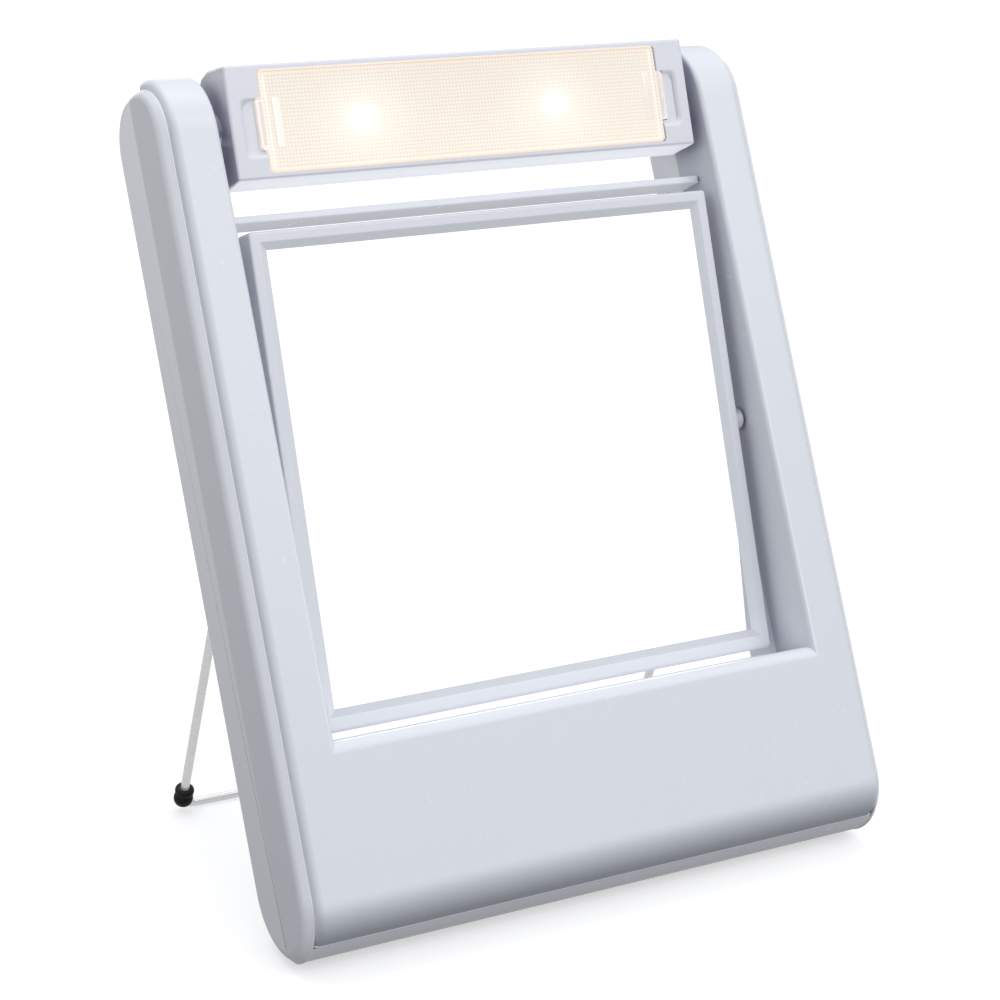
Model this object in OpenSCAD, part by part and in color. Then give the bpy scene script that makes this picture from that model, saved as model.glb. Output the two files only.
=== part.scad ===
// Folding lighted travel mirror: a two-armed upright case leaning back on a
// wire stand, with a two-sided flip mirror and a tilting lamp bar between
// the arms. Millimetres. +X is to the right seen from the front, +Y points to
// the back, +Z is up off the table. Most pieces are drawn in the case frame
// (front face on y = 0, case standing straight up) and then leaned back onto
// the table by place().
// Name endings: _w width, _h height, _d depth, _t thickness, _r radius.

/* [Case] */
// overall width of the case
case_w = 154.8; // [130:0.2:190]
// height of the case measured along its back
case_h = 200.2; // [170:0.2:240]
// depth of the case, front face to back face
case_d = 31; // [28:0.5:38]
// clear width between the two arms
gap_w = 127.4; // [110:0.2:150]
// height of the sill below the mirror, from the bottom of the case
sill_h = 46.7; // [46:0.1:60]
// depth at which the front and rear mouldings meet
part_y = 16.5; // [15.5:0.1:17]
// wall thickness of the rear moulding
wall = 2.2; // [1.6:0.1:3]
// angle the case leans back from upright
lean = 25.3; // [15:0.1:30]

/* [Mirror] */
// width of the mirror frame
mirror_w = 121.4; // [105:0.2:140]
// height of the mirror frame
mirror_h = 113.7; // [90:0.1:116]
// thickness of the whole mirror leaf
mirror_t = 7; // [6:0.1:9]
// visible rim at the sides and the top
rim_w = 4.25; // [3:0.05:8]
// visible rim along the bottom
low_rim_w = 5.1; // [3:0.05:8]
// tilt of the mirror, top forward, against the case
mirror_tilt = 5.8; // [0:0.1:15]
// radius of the mirror pivot pins
pin_r = 1.6; // [1.2:0.1:2.5]

/* [Lamp] */
// length of the lamp bar
lamp_w = 121.2; // [105:0.2:140]
// height of the lamp's front face
lamp_h = 26.05; // [22:0.05:28]
// depth of the lamp bar
lamp_d = 18; // [15:0.5:20]
// tilt of the lamp, top forward, against the case
lamp_tilt = 5.75; // [0:0.05:15]
// length of the diffuser
lens_w = 104.6; // [80:0.2:110]
// height of the diffuser
lens_h = 23.4; // [16:0.1:24]
// radius of the hollow lamp trunnions
trunnion_r = 3.5; // [2.5:0.1:4]

/* [Stand] */
// radius of the stand wire
wire_r = 1.1; // [0.8:0.05:1.5]
// distance of each stand leg from the middle
leg_x = 67.3; // [66.8:0.1:68]
// height of the stand pivot in the case frame
pivot_z = 100.7; // [90:0.1:110]
// depth at which the deployed crossbar lies in the case frame
bar_y = 97; // [80:0.5:110]
// bend radius of the wire at the feet
bend_r = 3.4; // [2.5:0.1:6]

/* [Hidden] */
$fn = 48;
overlap = 0.01;

white = [0.87, 0.88, 0.91];
steel = [0.75, 0.75, 0.76];
bush_white = [0.9, 0.9, 0.86];
tan = [0.8, 0.78, 0.7];
lead_red = [0.7, 0.1, 0.1];
glass_grey = [0.9, 0.92, 0.94];

// case outline
front_ease = 2.4;                  // bevel around the front of the shell
rear_ease = 4.5;                   // rounding around the back of the shell
case_half = case_w / 2;
gap_half = gap_w / 2;              // inner face of each arm
shell_y = 1.6;                     // front of the shell, behind the panel face
front_low_r = 14;
rear_low_r = 16;
top_r = 13;
past_part = part_y + 1;            // end of cuts through the parting plane

// raised front panel
panel_half = case_half - front_ease;
panel_low = 2.8;
panel_high = case_h + 1;
panel_top_r = 16;
panel_low_r = 10;
panel_ease = 1.1;
panel_t = 2;                       // skin thickness
return_t = 1.8;                    // return walls along the arms
strip_y = 14.5;                    // front of the shell's top strip
strip_t = 2.2;
lip_y = 6.4;                       // front of the shell's bottom lip

// parts shared between case pieces
screw_x = 72.4;
screw_z = [28, 128, 168];
screw_r = 1.25;
screw_seat_y = case_d - 2.6;
plate_low = 164.7;                 // cross plate, underside and top
plate_high = 166.4;
tab_y = 13.5;                      // cross plate tabs, front and back
tab_back = 19.5;
door_half = 55;
door_low = 15;
door_high = 43;
door_lip_t = 1.2;
door_step_half = 53.8;             // raised inner part of the door
door_step_low = 15.8;
door_step_high = 42.2;

// pivots
mirror_y = 11.28;
mirror_z = 105.2;
mirror_bush_r = 2.9;
lamp_y = 9.56;
lamp_z = 186.97;
lamp_bush_r = 4.7;
pivot_y = 27.4;                    // stand pivot
bore_gap = 0.06;

// how the case rests: the pads under the rear bottom rounding touch the table
pad_out = 0.5;
sin_lean = sin(lean);
cos_lean = cos(lean);
floor_z = -(case_d - rear_low_r) * sin_lean + rear_low_r * cos_lean - rear_low_r - pad_out;
// shift that centres the leaned case between its front and back extremes
place_y = -(panel_low_r * cos_lean + (panel_low + panel_low_r) * sin_lean - panel_low_r
          + (case_d - top_r) * cos_lean + (case_h - top_r) * sin_lean + top_r) / 2;

// deployed stand: the crossbar lies on the table
bar_z = (floor_z + wire_r + bar_y * sin_lean) / cos_lean;
leg_l = norm([bar_y - pivot_y, pivot_z - bar_z]);
leg_angle = atan2(pivot_z - bar_z, bar_y - pivot_y);   // below the horizontal

// ---- Frames ----

// case frame to table frame
module place() translate([0, place_y, -floor_z]) rotate([-lean, 0, 0]) children();
// mirror leaf frame: y = 0 is the mid plane, z up the leaf
module place_mirror()
  place() translate([0, mirror_y, mirror_z]) rotate([mirror_tilt, 0, 0]) children();
// lamp frame: pivot axis at the origin, face towards -y
module place_lamp()
  place() translate([0, lamp_y, lamp_z]) rotate([lamp_tilt, 0, 0]) children();
// right side as drawn, and its mirror image on the left
module both() {
  children();
  mirror([1, 0, 0]) children();
}

// ---- Shapes ----

// box between two corners
module box(low, high) translate(low) cube(high - low);
// box centred on x = 0; low and high are [y, z]
module mid_box(half, low, high) box([-half, low[0], low[1]], [half, high[0], high[1]]);
// rods along x and along y
module rod_x(x0, x1, r) translate([x0, 0, 0]) rotate([0, 90, 0]) cylinder(r = r, h = x1 - x0);
module rod_y(y0, y1, r) translate([0, y0, 0]) rotate([-90, 0, 0]) cylinder(r = r, h = y1 - y0);
// [y, z] outline drawn out to half on either side of x = 0
module extrude_x(half) translate([-half, 0, 0]) rotate([90, 0, 90]) linear_extrude(2 * half)
  children();
// [x, z] outline drawn out from y0 to y1
module extrude_y(y0, y1) translate([0, y1, 0]) rotate([90, 0, 0]) linear_extrude(y1 - y0)
  children();
// quarter of a wheel about the x axis through (y, z), starting at one of these
FRONT_LOW = -90;                   // front to bottom
REAR_LOW = 0;                      // bottom to rear
REAR_TOP = 90;                     // rear to top
FRONT_TOP = 180;                   // top to front
module quarter(y, z, start) translate([0, y, z]) rotate([start, 0, 0]) rotate([0, 90, 0])
  rotate_extrude(angle = 90) children();
// block tapering along y between two sections, each [half width, z low, z high, y]
function taper_ring(s) =
  [[-s[0], s[3], s[1]], [s[0], s[3], s[1]], [s[0], s[3], s[2]], [-s[0], s[3], s[2]]];
module taper_y(first, last) polyhedron(
  points = concat(taper_ring(first), taper_ring(last)),
  faces = [[3, 2, 1, 0], [4, 5, 6, 7], [0, 1, 5, 4], [1, 2, 6, 5], [2, 3, 7, 6], [3, 0, 4, 7]]);

// closed outline from its upper half, mirrored in the second coordinate
function symmetric(upper) = concat(
  [for (p = upper) [p[0], -p[1]]],
  [for (i = [len(upper) - 1 : -1 : 0]) upper[i]]);
// [depth, x] outline from base to face, its two face corners eased in flats
function eased(half, base, face, ease, flats) =
  let (dir = face > base ? 1 : -1)
  symmetric(concat([[base, half]], [for (t = [0 : 90 / flats : 90])
    [face - dir * ease * (1 - sin(t)), half - ease + ease * cos(t)]]));
// the same outline as a wheel section, and lying as [x, depth]
module wheel(r, half, ease, flats = 1) polygon(eased(half, 0, r, ease, flats));
module eased_slab(half, base, face, ease, flats = 1)
  polygon([for (p = eased(half, base, face, ease, flats)) [p[1], p[0]]]);

// ---- Case solids ----

// front half of the shell as a solid, between the bevel and the parting plane
module front_solid() {
  top_z = case_h - top_r;
  translate([0, 0, front_low_r]) linear_extrude(top_z - front_low_r)
    eased_slab(case_half, part_y, shell_y, front_ease);
  quarter(shell_y + front_low_r, front_low_r, FRONT_LOW)
    wheel(front_low_r, case_half, front_ease);
  quarter(shell_y + top_r, top_z, FRONT_TOP) wheel(top_r, case_half, front_ease);
  extrude_y(shell_y + front_low_r, part_y) eased_slab(case_half, front_low_r, 0, front_ease);
  translate([0, 0, top_z]) extrude_y(shell_y + top_r, part_y)
    eased_slab(case_half, 0, top_r, front_ease);
}
// rear half of the shell as a solid; inset gives its cavity
module rear_solid(inset = 0) {
  half = case_half - inset;
  ease = rear_ease - inset;
  top_z = case_h - top_r;
  translate([0, 0, rear_low_r]) linear_extrude(top_z - rear_low_r)
    eased_slab(half, part_y, case_d - inset, ease, 3);
  intersection() {
    quarter(case_d - rear_low_r, rear_low_r, REAR_LOW) wheel(rear_low_r - inset, half, ease, 3);
    mid_box(case_half, [part_y, -1], [case_d + 1, rear_low_r]);
  }
  intersection() {
    quarter(case_d - top_r, top_z, REAR_TOP) wheel(top_r - inset, half, ease, 3);
    mid_box(case_half, [part_y, top_z], [case_d + 1, case_h + 1]);
  }
  if (case_d - top_r > part_y)
    translate([0, 0, top_z]) extrude_y(part_y, case_d - top_r)
      eased_slab(half, 0, top_r - inset, ease, 3);
}
// volume under the raised panel's skin, down to the parting plane
module panel_solid(inset) {
  half = panel_half - inset;
  low_z = panel_low + panel_low_r;
  top_z = panel_high - panel_top_r;
  translate([0, 0, low_z]) linear_extrude(top_z - low_z)
    eased_slab(half, part_y, inset, panel_ease);
  quarter(panel_low_r, low_z, FRONT_LOW) wheel(panel_low_r - inset, half, panel_ease);
  quarter(panel_top_r, top_z, FRONT_TOP) wheel(panel_top_r - inset, half, panel_ease);
  mid_box(half, [panel_low_r, panel_low + inset], [part_y, low_z]);
  mid_box(half, [panel_top_r, top_z], [part_y, panel_high - inset]);
}
// space between the arms, widened by grow, from y0 to y1
module opening(grow, y0, y1)
  mid_box(gap_half + grow, [y0, sill_h - grow], [y1, panel_high + 9]);
// front of the opening, with the sill edge eased in flats
module eased_opening() extrude_x(gap_half) polygon([
  [-1, sill_h - 3.1], [0, sill_h - 3.1], [1.2, sill_h - 1.2],
  [3.1, sill_h], [3.1, panel_high + 9], [-1, panel_high + 9]]);
// region behind the panel's top edge, from z0 up
module top_strip(z0) mid_box(case_half + 1, [strip_y, z0], [past_part, panel_high + 1]);
module at_case_screws() both() for (z = screw_z) translate([screw_x, 0, z]) children();

// ---- Case pieces ----

// cuts the panel's side returns back so that they end inside the shell's groove
module side_return_cut() {
  cut_x = panel_half - 2.1;
  cut_end = panel_half + 1;
  groove_y = 3.2;
  low_z = panel_low + panel_low_r;
  top_z = panel_high - panel_top_r;
  box([cut_x, groove_y, low_z], [cut_end, past_part, top_z]);
  quarter(panel_low_r, low_z, FRONT_LOW)
    translate([0, cut_x]) square([panel_low_r - groove_y, 4]);
  quarter(panel_top_r, top_z, FRONT_TOP)
    translate([0, cut_x]) square([panel_top_r - groove_y, 4]);
  box([cut_x, panel_low_r, -1], [cut_end, past_part, low_z]);
  box([cut_x, strip_y, top_z], [cut_end, past_part, panel_high + 1]);
}

module front_panel() color(white) place() difference() {
  return_x = gap_half + return_t;
  union() {
    difference() {
      panel_solid(0);
      difference() {
        panel_solid(panel_t);
        opening(return_t, -1, past_part);
      }
      both() side_return_cut();
    }
    // posts on the inner face
    both() for (z = [36, 80, 150]) translate([68.9, 0, z]) rod_y(1.5, 6, 1.5);
  }
  // clear the skin where it meets the shell, bottom and top
  mid_box(case_half, [lip_y, -1], [past_part, panel_low + panel_t + overlap]);
  difference() {
    top_strip(panel_high - 4);
    both() box([gap_half, 14, 150], [return_x, past_part, case_h - strip_t]);
  }
  // opening between the arms
  opening(0, 3, past_part);
  opening(1.1, -1, 0.9);
  eased_opening();
  // pivot holes and cross plate slots
  both() {
    translate([gap_half - 1, mirror_y, mirror_z]) rod_x(0, return_t + 2, mirror_bush_r);
    translate([gap_half - 1, lamp_y, lamp_z]) rod_x(0, return_t + 2, lamp_bush_r);
    box([gap_half - 1, tab_y, plate_low], [return_x + 1, past_part, plate_high]);
  }
}

module front_shell() color(white) place() difference() {
  fit = 0.05;
  union() {
    difference() {
      front_solid();
      difference() {
        panel_solid(-fit);
        top_strip(case_h - strip_t);
        mid_box(case_half, [lip_y, -2], [past_part, panel_low]);
      }
      mid_box(gap_half + return_t + fit, [14, sill_h], [past_part, panel_high + 1]);
    }
    // ledge behind the panel's sides
    both() box([panel_half - 2.5, 3.4, front_low_r + 2],
      [panel_half + 0.2, 5, case_h - top_r - 2]);
    at_case_screws() rod_y(4, part_y, 2.8);
  }
  at_case_screws() rod_y(8, past_part, screw_r);
}

// everything outside the lower part of the rear shell
module rear_outside() difference() {
  mid_box(case_half + 1, [part_y - 1, -3], [case_d + 3, 40]);
  mid_box(case_half, [part_y - 2, rear_low_r], [case_d, 41]);
  quarter(case_d - rear_low_r, rear_low_r, REAR_LOW)
    wheel(rear_low_r, case_half, rear_ease, 3);
  mid_box(case_half, [part_y - 2, -4], [case_d - rear_low_r + 2, rear_low_r]);
}
// solid stock around the folded stand
module stand_blocks() {
  both() {
    box([gap_half + 1, 23.2, 17], [70.4, case_d - 1, pivot_z + 5]);
    box([gap_half - 1.6, 22.4, 4.5], [71.8, 27, 20.5]);
    box([69, 23.2, pivot_z - 4], [71.3, case_d - 1, pivot_z + 4]);
  }
  mid_box(leg_x, [23.2, 4], [27, 9.6]);
}
// room for the folded stand: leg channel, foot pocket, pivot bore, crossbar groove
module stand_room() {
  both() {
    box([leg_x - 1.6, 25.2, 5], [leg_x + 1.6, case_d + 1, pivot_z + 3]);
    box([leg_x - 3, 24.4, 4.9], [leg_x + 3, case_d + 1, 18.6]);
    translate([leg_x, pivot_y, pivot_z]) rod_x(0, 9, wire_r + bore_gap);
    box([71.3, 24, pivot_z - 3], [74, 29.6, pivot_z + 3]);
  }
  mid_box(leg_x, [25.6, 4.9], [case_d + 1, 8.9]);
}
// battery opening and the ledge for the door's lip
module door_opening() {
  step_gap = 0.2;
  lip_gap = 0.1;
  mid_box(door_step_half + step_gap, [20, door_step_low - step_gap],
    [case_d + 1, door_step_high + step_gap]);
  mid_box(door_half + lip_gap, [case_d - door_lip_t, door_low - lip_gap],
    [case_d + 1, door_high + lip_gap]);
}

module rear_shell() color(white) place() difference() {
  union() {
    difference() {
      rear_solid();
      difference() {
        translate([0, -overlap, 0]) rear_solid(wall);
        opening(wall, 0, 40);
      }
    }
    at_case_screws() rod_y(part_y, case_d - 1, 3);
    stand_blocks();
  }
  opening(0, 0, 40);
  rear_outside();
  stand_room();
  at_case_screws() {
    rod_y(part_y - 1, case_d + 1, 1.4);
    rod_y(screw_seat_y, case_d + 1, 2.4);
  }
  both() {
    box([gap_half - 1, part_y - 1, plate_low], [gap_half + wall + 1, tab_back, plate_high]);
    pad_block(0.04);
  }
  door_opening();
  // switch recess and slot in the right side wall
  box([case_half - 1.1, 17.6, 54], [case_half + 1, 24.9, 67]);
  box([case_half - 4, 19.2, 56], [case_half + 1, 23.3, 65]);
}

module cross_plate() color(white) place() {
  corner_r = 1.5;
  front_y = 7.5;
  back_y = 17;
  corner_x = gap_half - corner_r;
  difference() {
    mid_box(gap_half, [front_y, plate_low], [back_y, plate_high]);
    // rounded front corners
    both() difference() {
      box([corner_x, 7, 164], [gap_half + 1, front_y + corner_r, 167]);
      translate([corner_x, front_y + corner_r, 164]) cylinder(r = corner_r, h = 3);
    }
  }
  both() {
    box([gap_half, tab_y, plate_low], [gap_half + return_t + 1.4, tab_back, plate_high]);
    box([gap_half - 3, back_y, plate_low], [gap_half, tab_back, plate_high]);
  }
}

module case_screws() color(steel) place() at_case_screws() difference() {
  union() {
    rod_y(9, screw_seat_y, screw_r);
    rod_y(screw_seat_y, case_d - 1, 2.3);
  }
  // cross recess
  box([-1.6, case_d - 1.7, -0.3], [1.6, case_d, 0.3]);
  box([-0.3, case_d - 1.7, -1.6], [0.3, case_d, 1.6]);
}

// block along the table tangent of the rear bottom edge, enlarged by grow
module pad_block(grow = 0)
  translate([0, case_d - rear_low_r, rear_low_r]) rotate([lean, 0, 0])
    box([44 - grow, -2.2 - grow, -rear_low_r - pad_out],
      [60 + grow, 2.2 + grow, -rear_low_r + 0.6 + grow]);
module anti_slip_pads() color([0.85, 0.86, 0.86]) place() both() pad_block();

// ---- Battery compartment ----

cell_r = 7.1;
cell_x = 28.2;
cell_y = 18.6;
cell_z = [21.4, 35.8];
cell_shift = 1.2;                  // lower row to the right, upper row to the left
cell_flat_x = -24.6;               // ends of a cell from its middle
cell_shoulder_x = 23.8;

module battery_tray() color([0.82, 0.83, 0.86]) place() difference() {
  tray_wall = 1.2;
  half = 58.4;
  front_y = 9.6;
  low = 12.6;
  high = 44.2;
  mid_box(half, [front_y, low], [27.8, high]);
  mid_box(half - tray_wall, [front_y + tray_wall, low + tray_wall], [28, high - tray_wall]);
  both() box([50, 9, 20], [56, 11, 24]);
}
// cell frames, stud towards +x in the lower row and towards -x in the upper
module at_cells() for (side = [-1, 1], row = [0, 1]) {
  dir = row == 0 ? 1 : -1;
  translate([side * cell_x + dir * cell_shift, cell_y, cell_z[row]])
    mirror([row, 0, 0]) children();
}
module battery_cells() color([0.25, 0.35, 0.3]) place() at_cells() {
  rod_x(cell_flat_x, cell_shoulder_x, cell_r);
  rod_x(cell_shoulder_x, 24.9, 2.7);
}
// three rings narrowing along +x
module coil() for (k = [0 : 2]) translate([k * 0.95, 0, 0]) rotate([0, 90, 0])
  rotate_extrude() translate([3.4 - k * 0.5, 0]) circle(r = 0.55, $fn = 24);
// springs sit at the flat end of each cell
module battery_springs() color(steel) place() at_cells()
  translate([cell_flat_x, 0, 0]) mirror([1, 0, 0]) translate([0.56, 0, 0]) coil();
module battery_contacts() color(tan) place() both() difference() {
  box([56.6, 12, 14.6], [57.1, 25.4, 42.6]);
  box([56, 11, 28.4], [58, 21, 29.2]);
}
module battery_door() color(white) place() difference() {
  step_wall = 1.2;
  union() {
    mid_box(door_half, [case_d - door_lip_t, door_low], [case_d - 0.02, door_high]);
    mid_box(door_step_half, [case_d - 2.6, door_step_low],
      [case_d - door_lip_t, door_step_high]);
  }
  mid_box(door_step_half - step_wall, [case_d - 3, door_step_low + step_wall],
    [case_d - 1.4, door_step_high - step_wall]);
  // grip grooves
  for (k = [0 : 5]) mid_box(8, [case_d - 0.4, 36 + k * 0.95], [case_d + 1, 36.45 + k * 0.95]);
}

// ---- Switch and case wiring ----

module switch_body() color([0.12, 0.12, 0.13]) place() difference() {
  box([70.5, 18.6, 55], [case_half - wall, 24.2, 66]);
  box([72.4, 20, 57], [case_half, 22.8, 64]);
}
module switch_knob() color([0.15, 0.15, 0.16]) place() difference() {
  wall_x = case_half - wall;
  union() {
    box([wall_x + 0.1, 19.4, 60.2], [case_half - 0.15, 23.1, 64.8]);
    box([72.5, 20.2, 61.4], [wall_x + 0.2, 22.6, 63.6]);
  }
  // grip grooves
  for (k = [0 : 2]) box([case_half - 0.5, 19, 61 + k * 1.2], [case_half, 24, 61.5 + k * 1.2]);
}

// insulated lead through points, as eight-sided lengths that run into each other
module lead(points, r) for (i = [0 : len(points) - 2]) {
  step = points[i + 1] - points[i];
  length = norm(step);
  before = i > 0 ? r * 0.45 : 0;
  after = i < len(points) - 2 ? r * 0.45 : 0;
  translate(points[i] - before * step / length)
    rotate([0, acos(step[2] / length), atan2(step[1], step[0])])
    rotate([0, 0, 7 + i * 5]) cylinder(r = r, h = length + before + after, $fn = 8);
}
// lead routes, [x, y, z] in the case frame
tray_to_lamp = [
  [-58.5, 18, 34], [-61.2, 18, 34], [-61.2, 9.2, 38], [-66.4, 5.95, 43.5],
  [-66.4, 5.95, 160], [-71.0, 5.95, 176], [-71.3, 10.2, 185.2]];
tray_to_switch = [
  [58.5, 18, 34], [62.6, 18, 34], [62.6, 14, 36], [67.6, 14, 41],
  [67.6, 14, 52], [71.6, 17.0, 59.5], [71.6, 17.9, 60.5]];
switch_to_lamp = [
  [73.2, 17.9, 58], [73.2, 15, 56], [69.5, 8.2, 50], [67.2, 7, 42], [62, 7, 38],
  [-60, 7, 38], [-66.4, 4.6, 43.8], [-66.4, 4.6, 160], [-71.0, 4.6, 176], [-71.3, 8.6, 186.5]];
module case_leads() color(lead_red) place()
  for (route = [tray_to_lamp, tray_to_switch, switch_to_lamp]) lead(route, 0.6);

// ---- Stand ----

// radius and distance along the leg from the outer line of the crossbar
foot_profile = [
  [0, -6.4], [1.9, -6.4], [2.35, -5.8], [2.55, -4.8], [2.5, -3.8], [2.25, -3.2],
  [2.45, -2.5], [2.6, -1.3], [2.45, 0.2], [1.9, 1.5], [1.3, 1.75], [0, 1.75]];

// stand frame: pivot axis at the origin, y along the deployed legs
module place_stand()
  place() translate([0, pivot_y, pivot_z]) rotate([-leg_angle, 0, 0]) children();
module at_legs() place_stand() both() translate([leg_x, 0, 0]) children();
// one leg from the pivot through its bend towards the middle
module leg_wire() {
  rod_y(0, leg_l - bend_r, wire_r);
  translate([-bend_r, leg_l - bend_r, 0])
    rotate_extrude(angle = 90) translate([bend_r, 0]) circle(r = wire_r);
}
module stand_wire() color(steel) {
  stub_end = 72.05 - leg_x;
  at_legs() {
    leg_wire();
    sphere(r = wire_r);
    // pivot stub and its head
    rod_x(0, stub_end, wire_r);
    rod_x(stub_end, 72.8 - leg_x, 1.9);
  }
  place_stand() translate([0, leg_l, 0]) rod_x(-leg_x + bend_r, leg_x - bend_r, wire_r);
}
module stand_feet() color([0.05, 0.05, 0.05]) at_legs() difference() {
  translate([0, leg_l - 1.6, 0]) rotate([-90, 0, 0]) rotate_extrude() polygon(foot_profile);
  leg_wire();
}
module stand_washers() color(bush_white) place() both()
  translate([0, pivot_y, pivot_z]) difference() {
    rod_x(71.36, 71.98, 2);
    rod_x(71, 73, wire_r + bore_gap);
  }

// ---- Mirror leaf ----

leaf_x = mirror_w / 2;
leaf_z = mirror_h / 2;
glass_y = 2.2;                     // outer face of each glass
pad_y = 0.9;                       // outer face of the core pad
pin_in = 3.1;                      // depth of the pins in the frame

// front half of the frame
module half_frame() difference() {
  bevel = 0.5;
  flare = 2;
  face_y = -mirror_t / 2;
  window_x = leaf_x - rim_w;
  window_low = -leaf_z + low_rim_w;
  window_high = leaf_z - rim_w;
  union() {
    mid_box(leaf_x, [face_y + bevel, -leaf_z], [0, leaf_z]);
    taper_y([leaf_x - bevel, -leaf_z + bevel, leaf_z - bevel, face_y],
      [leaf_x, -leaf_z, leaf_z, face_y + bevel]);
    // half bosses around the pins
    both() intersection() {
      rod_x(leaf_x - 1, leaf_x + 2.5, 2.5);
      box([0, -5, -5], [leaf_x + 5, 0, 5]);
    }
  }
  // bevelled window, glass pocket, pin seats
  taper_y([window_x + flare, window_low - flare, window_high + flare, face_y - 0.2],
    [window_x, window_low, window_high, -glass_y + 0.02]);
  mid_box(window_x, [-2.5, window_low], [1, window_high]);
  mid_box(leaf_x - 3.4, [-glass_y, -leaf_z + 3.4], [1, leaf_z - 3.4]);
  both() rod_x(leaf_x - pin_in, leaf_x + 4, pin_r);
}
// sheet filling the glass pocket's outline from y0 to y1
module leaf_sheet(y0, y1) place_mirror()
  mid_box(leaf_x - 3.5, [y0, -leaf_z + 3.5], [y1, leaf_z - 3.5]);
// flanged bush in each arm, bored through along x
module arm_bushes(y, z, body_r, flange_r, flange_t, bore_r)
  place() both() translate([0, y, z]) difference() {
    flange_x = gap_half + return_t;
    union() {
      rod_x(gap_half + 0.02, flange_x, body_r);
      rod_x(flange_x, flange_x + flange_t, flange_r);
    }
    rod_x(gap_half - 1, gap_half + 9, bore_r);
  }

module mirror_front_frame() color(white) place_mirror() half_frame();
module mirror_rear_frame() color(white) place_mirror() mirror([0, 1, 0]) half_frame();
module mirror_glass_plain() color(glass_grey) leaf_sheet(-glass_y, -pad_y);
module mirror_glass_magnifying() color(glass_grey) leaf_sheet(pad_y, glass_y);
module mirror_core_pad() color(tan) leaf_sheet(-pad_y, pad_y);
module mirror_pins() color(steel) place_mirror() both() rod_x(leaf_x - pin_in, 69.3, pin_r);
module mirror_bushes() color(bush_white)
  arm_bushes(mirror_y, mirror_z, mirror_bush_r, 4.2, 3, pin_r + 0.05);

// ---- Lamp bar ----

lamp_x = lamp_w / 2;
face_z = lamp_h / 2;               // half height at the front face
lamp_back = lamp_d / 2;
lamp_front = -lamp_back;
lamp_part_y = -5;                  // plane where bezel and housing meet
lamp_wall = 1.6;
lamp_seat_y = lamp_back - 3.6;     // seat of the screw heads
lens_x = lens_w / 2;
lens_z = lens_h / 2;
bulb_x = 25.7;

// upper halves of the reflector's outer and inner outlines, [y, z]
reflector_outer = [[-6.9, 11], [-6.1, 11], [1.5, 8.4], [3.2, 5]];
reflector_inner = [[-7.5, 10.5], [-6.2, 10.4], [1.1, 7.9], [2.6, 4.7]];

// half height of the lamp body at depth y: it widens towards the back
function body_z(y) = face_z + (y - lamp_front) * 0.108;
module lamp_body(half, inset, y0, y1) extrude_x(half)
  polygon(symmetric([for (y = [y0, y1]) [y, body_z(y) - inset]]));
module lamp_back_body(half, inset) extrude_x(half) polygon(symmetric([
  [lamp_part_y, body_z(lamp_part_y) - inset],
  [1, body_z(1) - inset],
  [5 - inset * 0.4, 13.3 - inset],
  [lamp_back - 1.2 - inset * 0.9, 10.2 - inset * 0.6],
  [lamp_back - inset, 7.6 - inset * 0.5]]));
module at_lamp_screws() both() for (z = [-9.2, 9.2]) translate([56.5, 0, z]) children();
module place_bulbs() place_lamp() for (s = [-1, 1]) translate([s * bulb_x, 0, 0]) children();

module lamp_bezel() color(white) place_lamp() difference() {
  bevel_y = lamp_front + 0.6;
  union() {
    difference() {
      union() {
        lamp_body(lamp_x, 0, bevel_y, lamp_part_y);
        taper_y([lamp_x - 0.6, -face_z + 0.55, face_z - 0.55, lamp_front],
          [lamp_x, -body_z(bevel_y), body_z(bevel_y), bevel_y]);
      }
      lamp_body(lamp_x - lamp_wall, lamp_wall, lamp_front + 1.8, lamp_part_y + 1);
    }
    at_lamp_screws() rod_y(-7.6, -3, 2.4);
  }
  mid_box(lens_x + 0.1, [lamp_front - 1, -lens_z - 0.1], [lamp_part_y + 3, lens_z + 0.1]);
  at_lamp_screws() rod_y(-6.9, 0, 1.05);
  // notches for the lens tabs and the shallow recesses beside them
  both() {
    box([lens_x - 1, lamp_front - 1, -6.6], [54.1, lamp_part_y + 1, 5.6]);
    box([52, lamp_front - 1, -7.2], [57.6, lamp_front + 0.9, 4.4]);
  }
}
module lamp_housing() color(white) place_lamp() difference() {
  inner_x = lamp_x - lamp_wall;
  mouth_z = body_z(lamp_part_y) - lamp_wall;
  union() {
    difference() {
      lamp_back_body(lamp_x, 0);
      lamp_back_body(inner_x, lamp_wall);
      mid_box(inner_x, [lamp_part_y - 1, -mouth_z], [lamp_part_y + 1, mouth_z]);
    }
    both() rod_x(inner_x, 69.6, trunnion_r);
    at_lamp_screws() rod_y(-2.9, 7.2, 3);
  }
  both() rod_x(lamp_x - 3, 71, 1.7);
  at_lamp_screws() {
    rod_y(-4, 12, 1.15);
    rod_y(lamp_seat_y, 12, 2.1);
  }
}
module lamp_lens() color([1, 0.95, 0.85, 0.5]) place_lamp() difference() {
  union() {
    mid_box(lens_x, [lamp_front + 0.02, -lens_z], [lamp_front + 1.8, lens_z]);
    both() box([lens_x - 0.1, lamp_front + 0.2, -6.5], [lens_x + 1.7, lamp_front + 3.6, 5.5]);
  }
  both() box([lens_x + 0.8, lamp_front - 1, -5.6], [lens_x + 0.9, lamp_front + 3, 4.6]);
}
module lamp_reflector() color([0.85, 0.86, 0.88]) place_lamp() difference() {
  extrude_x(51) polygon(symmetric(reflector_outer));
  extrude_x(50.4) polygon(symmetric(reflector_inner));
  for (s = [-1, 1]) translate([s * bulb_x, 0, 0]) rod_y(0, 5, 3.3);
}
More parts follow.
